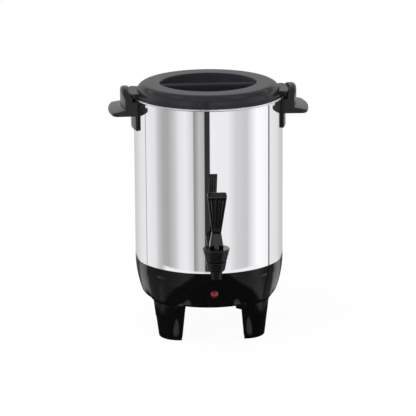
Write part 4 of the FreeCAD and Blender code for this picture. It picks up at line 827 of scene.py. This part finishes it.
red_jewel = finish("red_jewel", (0.15, 0.0018, 0.004), roughness=0.12, rough_by=0.04, tint=0.25,
                   **{"Coat Weight": 0.6, "Coat Roughness": 0.03})
fitted(lens_mesh(), "urn", "red_lens", red_jewel, "pilot_lens")


# What is left of the frame's own nodes keeps its shape and gets its finish here: spun aluminium
# inside, plain steel, rubber, and the moulded and woven parts under the can.

node_finishes = {
    "percolator_aluminium": finish("spun_aluminium", (0.70, 0.70, 0.71), metallic=1.0, roughness=0.27,
                                   rough_by=0.08, tint=0.03, grain=0.00001, stretch=(1, 1, 12)),
    "galvanised_plate": finish("galvanised", (0.48, 0.49, 0.50), metallic=1.0, roughness=0.42,
                               rough_by=0.2, tint=0.2),
    "heater_sheath": finish("heater_sheath", (0.16, 0.15, 0.14), metallic=1.0, roughness=0.45,
                            rough_by=0.2, tint=0.2),
    "thermostat_case": finish("phenolic", (0.03, 0.03, 0.03), roughness=0.3, rough_by=0.1),
    "fuse_sleeve": finish("woven_sleeve", (0.68, 0.66, 0.60), roughness=0.85, grain=0.0001,
                          grain_scale=1500.0, tint=0.2),
    "lead_sleeve": finish("silicone_lead", (0.66, 0.64, 0.60), roughness=0.5, rough_by=0.1),
    "valve_rubber": finish("silicone_cup", (0.08, 0.075, 0.07), roughness=0.55, rough_by=0.1),
    "gasket_rubber": finish("gasket_rubber", (0.018, 0.018, 0.018), roughness=0.6, rough_by=0.1,
                            grain=0.00003),
    "valve_plastic": finish("valve_plastic", (0.26, 0.26, 0.25), roughness=0.45, rough_by=0.1,
                            grain=0.00002),
    "inlet_plastic": finish("inlet_black", (0.014, 0.014, 0.015), roughness=0.25, rough_by=0.06,
                            grain=0.00002),
    "contact_metal": finish("nickel_pin", (0.72, 0.68, 0.60), metallic=1.0, roughness=0.2, rough_by=0.08),
    "lamp_glass": finish("lamp_glass", (0.80, 0.72, 0.66), roughness=0.08, rough_by=0.02),
    "polished_steel": polished_steel, "base_plastic": base_black, "cover_plastic": lid_grey,
    "handle_plastic": handle_black, "black_plastic": tap_black, "red_lens": red_jewel,
    "plain_steel": zinc_steel,
}
for subpart in frame["record"]["subparts"]:
    node = frame["nodes"][subpart["node"]]
    node.data.materials.clear()
    node.data.materials.append(node_finishes[subpart["material_slot"]])


# The studio. A small pale floor, white surroundings, soft light from above, and grey and black
# cards that the polished can shows as upright bands.

CAMERA_BEARING = math.radians(4.0)
CAMERA_FAR = 3.4751
CAMERA_HIGH = 1.098
CAMERA_PITCH = 0.2600
CAMERA_ROLL = -0.0060
FOCAL = 2525.8
PHOTO = 416
SENSOR = 36.0
SHIFT = -0.83, -0.6
toward = Vector((-math.sin(CAMERA_BEARING), -math.cos(CAMERA_BEARING), 0))
across = Vector((math.cos(CAMERA_BEARING), -math.sin(CAMERA_BEARING), 0))
look = -toward * math.cos(CAMERA_PITCH) - Vector((0, 0, math.sin(CAMERA_PITCH)))
rise = across.cross(look)
right = across * math.cos(CAMERA_ROLL) + rise * math.sin(CAMERA_ROLL)
top = rise * math.cos(CAMERA_ROLL) - across * math.sin(CAMERA_ROLL)
lens_data = bpy.data.cameras.new("camera")
lens_data.sensor_width = SENSOR
lens_data.lens = FOCAL / PHOTO * SENSOR
lens_data.shift_x = SHIFT[0] / PHOTO
lens_data.shift_y = SHIFT[1] / PHOTO
camera = bpy.data.objects.new("camera", lens_data)
bpy.context.scene.collection.objects.link(camera)
stand = Matrix((right, top, -look)).transposed().to_4x4()
stand.translation = toward * CAMERA_FAR + Vector((0, 0, CAMERA_HIGH))
camera.matrix_world = stand
bpy.context.scene.camera = camera

# The floor looks pale to the camera. Glossy rays see painted reflections on it instead: a dark patch
# of painted shade round the urn, with two glowing patches in it that paint highlights on the legs'
# inner edges, a veil round the patch that dims the sky seen through the floor and paints highlights
# where the legs' outer edges look, and a white strip further out that paints a bright line along
# the can's foot.
FLOOR_R = 500.0
FLOOR_DROP = -0.2
# Edges of the dark patch of painted shade that glossy rays see on the floor: its sides, round and back.
DARK_PATCH_SIDE = (0.145, 0.175)
DARK_PATCH_ROUND = (0.40 ** 2, 0.43 ** 2)
DARK_PATCH_BACK = (0.06, 0.12)
# Radii of the white ring that paints a bright reflected line along the can's foot.
STRIP_IN = (0.445 ** 2, 0.455 ** 2)
STRIP_OUT = (0.468 ** 2, 0.480 ** 2)
STRIP_BACK = (-0.2, -0.1)
# Place and size of the two glowing patches that paint highlights on the legs' inner edges.
GLEAM_X, GLEAM_Y = 0.068, -0.107
GLEAM_LONG, GLEAM_WIDE = 0.030, 0.014
GLEAM_TURN = math.radians(64.15)
# Brightness of the painted veil by bearing round the floor; its bright stops paint highlights on the legs'
# outer edges.
PAINTED_VEIL = [
    (0.0, 0.42), (0.38, 0.42), (0.45, 0.16), (0.57, 0.16), (0.61, 1.0), (0.70, 1.0), (0.75, 0.2),
    (1.0, 0.2)]
WHITE = (1, 1, 1, 1)
floor_rings = np.linspace(0, FLOOR_R, 40)[:, None]
floor_turn = np.linspace(0, 2 * math.pi, 97)[:-1]
floor = skin("floor", polar(floor_turn, floor_rings, FLOOR_DROP), wrap_rows=False)
floor_pale = bpy.data.materials.new("floor_pale")
board = Board(floor_pale)
floor_x, floor_y = board.parts()[:2]
beside = floor_x.size()
far = floor_x * floor_x + floor_y * floor_y
# Painted shade: a dark patch round the urn, seen only by glossy rays.
off_dark_patch = beside.smooth(*DARK_PATCH_SIDE).maths(
    "MAXIMUM", far.smooth(*DARK_PATCH_ROUND).maths("MAXIMUM", floor_y.smooth(*DARK_PATCH_BACK)))
# Painted highlights: two glowing patches inside the dark patch, for the legs' inner edges.
aside, ahead = beside - GLEAM_X, floor_y - GLEAM_Y
along = (aside * math.cos(GLEAM_TURN) - ahead * math.sin(GLEAM_TURN)) / GLEAM_LONG
width = (aside * math.sin(GLEAM_TURN) + ahead * math.cos(GLEAM_TURN)) / GLEAM_WIDE
painted_gleam = 1 - (along * along + width * width).smooth(0.3, 1.0)
# Painted reflection: a white ring that draws a bright line along the can's foot.
painted_strip = far.smooth(*STRIP_IN) * (1 - far.smooth(*STRIP_OUT)) * (1 - floor_y.smooth(*STRIP_BACK))
# Painted highlights: the veil tints the sky that glossy rays see through the floor, bright where the legs'
# outer edges look.
painted_veil_turn = beside.maths("ARCTAN2", 0 - floor_y) / math.pi
painted_veil = board.node("ShaderNodeValToRGB", {"stops": PAINTED_VEIL}, {0: painted_veil_turn})
painted_veil = board.colours(far.smooth(*DARK_PATCH_ROUND), painted_veil.outputs[0], WHITE)
white = board.node("ShaderNodeEmission", None, {"Color": WHITE, "Strength": 1.0})
# The dark patch and the two gleams are emission seen only by glossy rays: painted shade and painted
# highlights.
painted_dark_patch = board.node("ShaderNodeEmission", None, {"Color": WHITE, "Strength": 0.02})
painted_gleam_glow = board.node("ShaderNodeEmission", None, {"Color": (0.92, 0.90, 1.0, 1), "Strength": 0.7})
through = board.node("ShaderNodeBsdfTransparent", None, {"Color": painted_veil})
matt = board.node("ShaderNodeBsdfDiffuse", None, {"Color": (0.85, 0.85, 0.85, 1)})
# What glossy rays see on the floor is all painted reflection.
painted_reflection = board.blend(off_dark_patch, board.blend(painted_gleam, painted_dark_patch, painted_gleam_glow), through)
painted_reflection = board.blend(painted_strip, painted_reflection, white)
rays = board.node("ShaderNodeLightPath")
shown = board.blend(rays.outputs["Is Camera Ray"], matt, board.blend(0.96, matt, white))
both = board.blend(rays.outputs["Is Glossy Ray"], shown, painted_reflection)
board.node("ShaderNodeOutputMaterial", None, {"Surface": both.outputs[0]})
floor.data.materials.append(floor_pale)

# Bands round the studio, by bearing from the camera in degrees, and how bright each looks. The right
# hand ones start at a thin dark line. OVERHEAD dims or lifts them by height, from -1 to 1 as 0 to 1.
BANDS = [
    (-180, 0.60), (-150, 0.70), (-130, 0.86), (-114.7, 0.92), (-114.3, 0.15), (-113.1, 0.15), (-112.7, 0.95),
    (-92, 0.87), (-84, 0.62), (-75, 0.46), (-66, 0.44), (-54, 0.64), (-46, 0.88), (-36, 0.96), (-28, 0.82),
    (-23.6, 0.70), (-23.2, 0.27), (-19.5, 0.40), (-14, 0.58), (-6.4, 0.50), (-6.0, 0.035), (1.6, 0.035),
    (2.2, 0.97), (30, 0.95), (43, 0.72), (61, 0.64), (72, 0.93), (80, 1.12), (92, 1.10), (105.8, 1.0)]
RIGHT_FROM = 105.9
BANDS_RIGHT = [
    (106.0, 0.12), (108.6, 0.12), (109.2, 0.90), (118, 0.88), (131, 0.84), (146, 0.66), (180, 0.60)]
OVERHEAD = [
    (0.0, 1.0), (0.54, 1.0), (0.58, 1.25), (0.67, 1.25), (0.71, 0.30), (0.745, 0.30), (0.755, 1.6),
    (0.78, 1.6), (0.79, 0.3), (0.92, 0.3), (0.93, 1.0), (0.95, 1.0), (0.96, 0.25), (1.0, 0.25)]


def turn_share(bearing):
    """A bearing in degrees as a share of one turn that starts behind the urn."""
    return (bearing + 180) / 360


def band_stops(bands):
    """Bands as stops on a ramp that runs once round."""
    return [(turn_share(bearing), float(shade)) for bearing, shade in bands]


world = bpy.data.worlds.new("studio")
bpy.context.scene.world = world
sky = Board(world)
east, north, high = sky.parts("Generated")
sideways = east * across.x + north * across.y
facing = east * toward.x + north * toward.y
turn = sideways.maths("ARCTAN2", facing) / (2 * math.pi) + 0.5
bands = sky.colours(
    turn.maths("GREATER_THAN", turn_share(RIGHT_FROM)),
    sky.node("ShaderNodeValToRGB", {"stops": band_stops(BANDS)}, {0: turn}).outputs[0],
    sky.node("ShaderNodeValToRGB", {"stops": band_stops(BANDS_RIGHT)}, {0: turn}).outputs[0])
overhead = sky.node("ShaderNodeValToRGB", {"stops": OVERHEAD}, {0: high * 0.5 + 0.5})
bands = sky.colours(1.0, bands, overhead.outputs[0], "MULTIPLY")
soft = sky.node("ShaderNodeBackground", None, {"Color": (0.97, 0.98, 1.0, 1), "Strength": 0.75})
surround = sky.node("ShaderNodeBackground", None, {"Color": WHITE, "Strength": 1.0})
cards = sky.node("ShaderNodeBackground", None, {"Color": bands, "Strength": 1.0})
rays = sky.node("ShaderNodeLightPath")
lit = sky.blend(rays.outputs["Is Glossy Ray"], soft, cards)
whole = sky.blend(rays.outputs["Is Camera Ray"], lit, surround)
sky.node("ShaderNodeOutputWorld", None, {"Surface": whole.outputs[0]})


def softbox(name, at, aim, size, power):
    """A square lamp at a place in metres, turned to a point."""
    lamp = bpy.data.lights.new(name, "AREA")
    lamp.shape = "SQUARE"
    lamp.size = size
    lamp.energy = power
    box = bpy.data.objects.new(name, lamp)
    bpy.context.scene.collection.objects.link(box)
    box.location = at
    box.rotation_euler = (Vector(aim) - Vector(at)).to_track_quat("-Z", "Y").to_euler()
    box.visible_glossy = False


softbox("overhead", (-0.3, -0.3, 1.7), (0, 0, 0.2), 1.0, 14.0)
softbox("left_key", (-1.6, -1.3, 1.1), (0, 0, 0.2), 0.8, 12.0)
bpy.context.scene.view_settings.view_transform = "Standard"
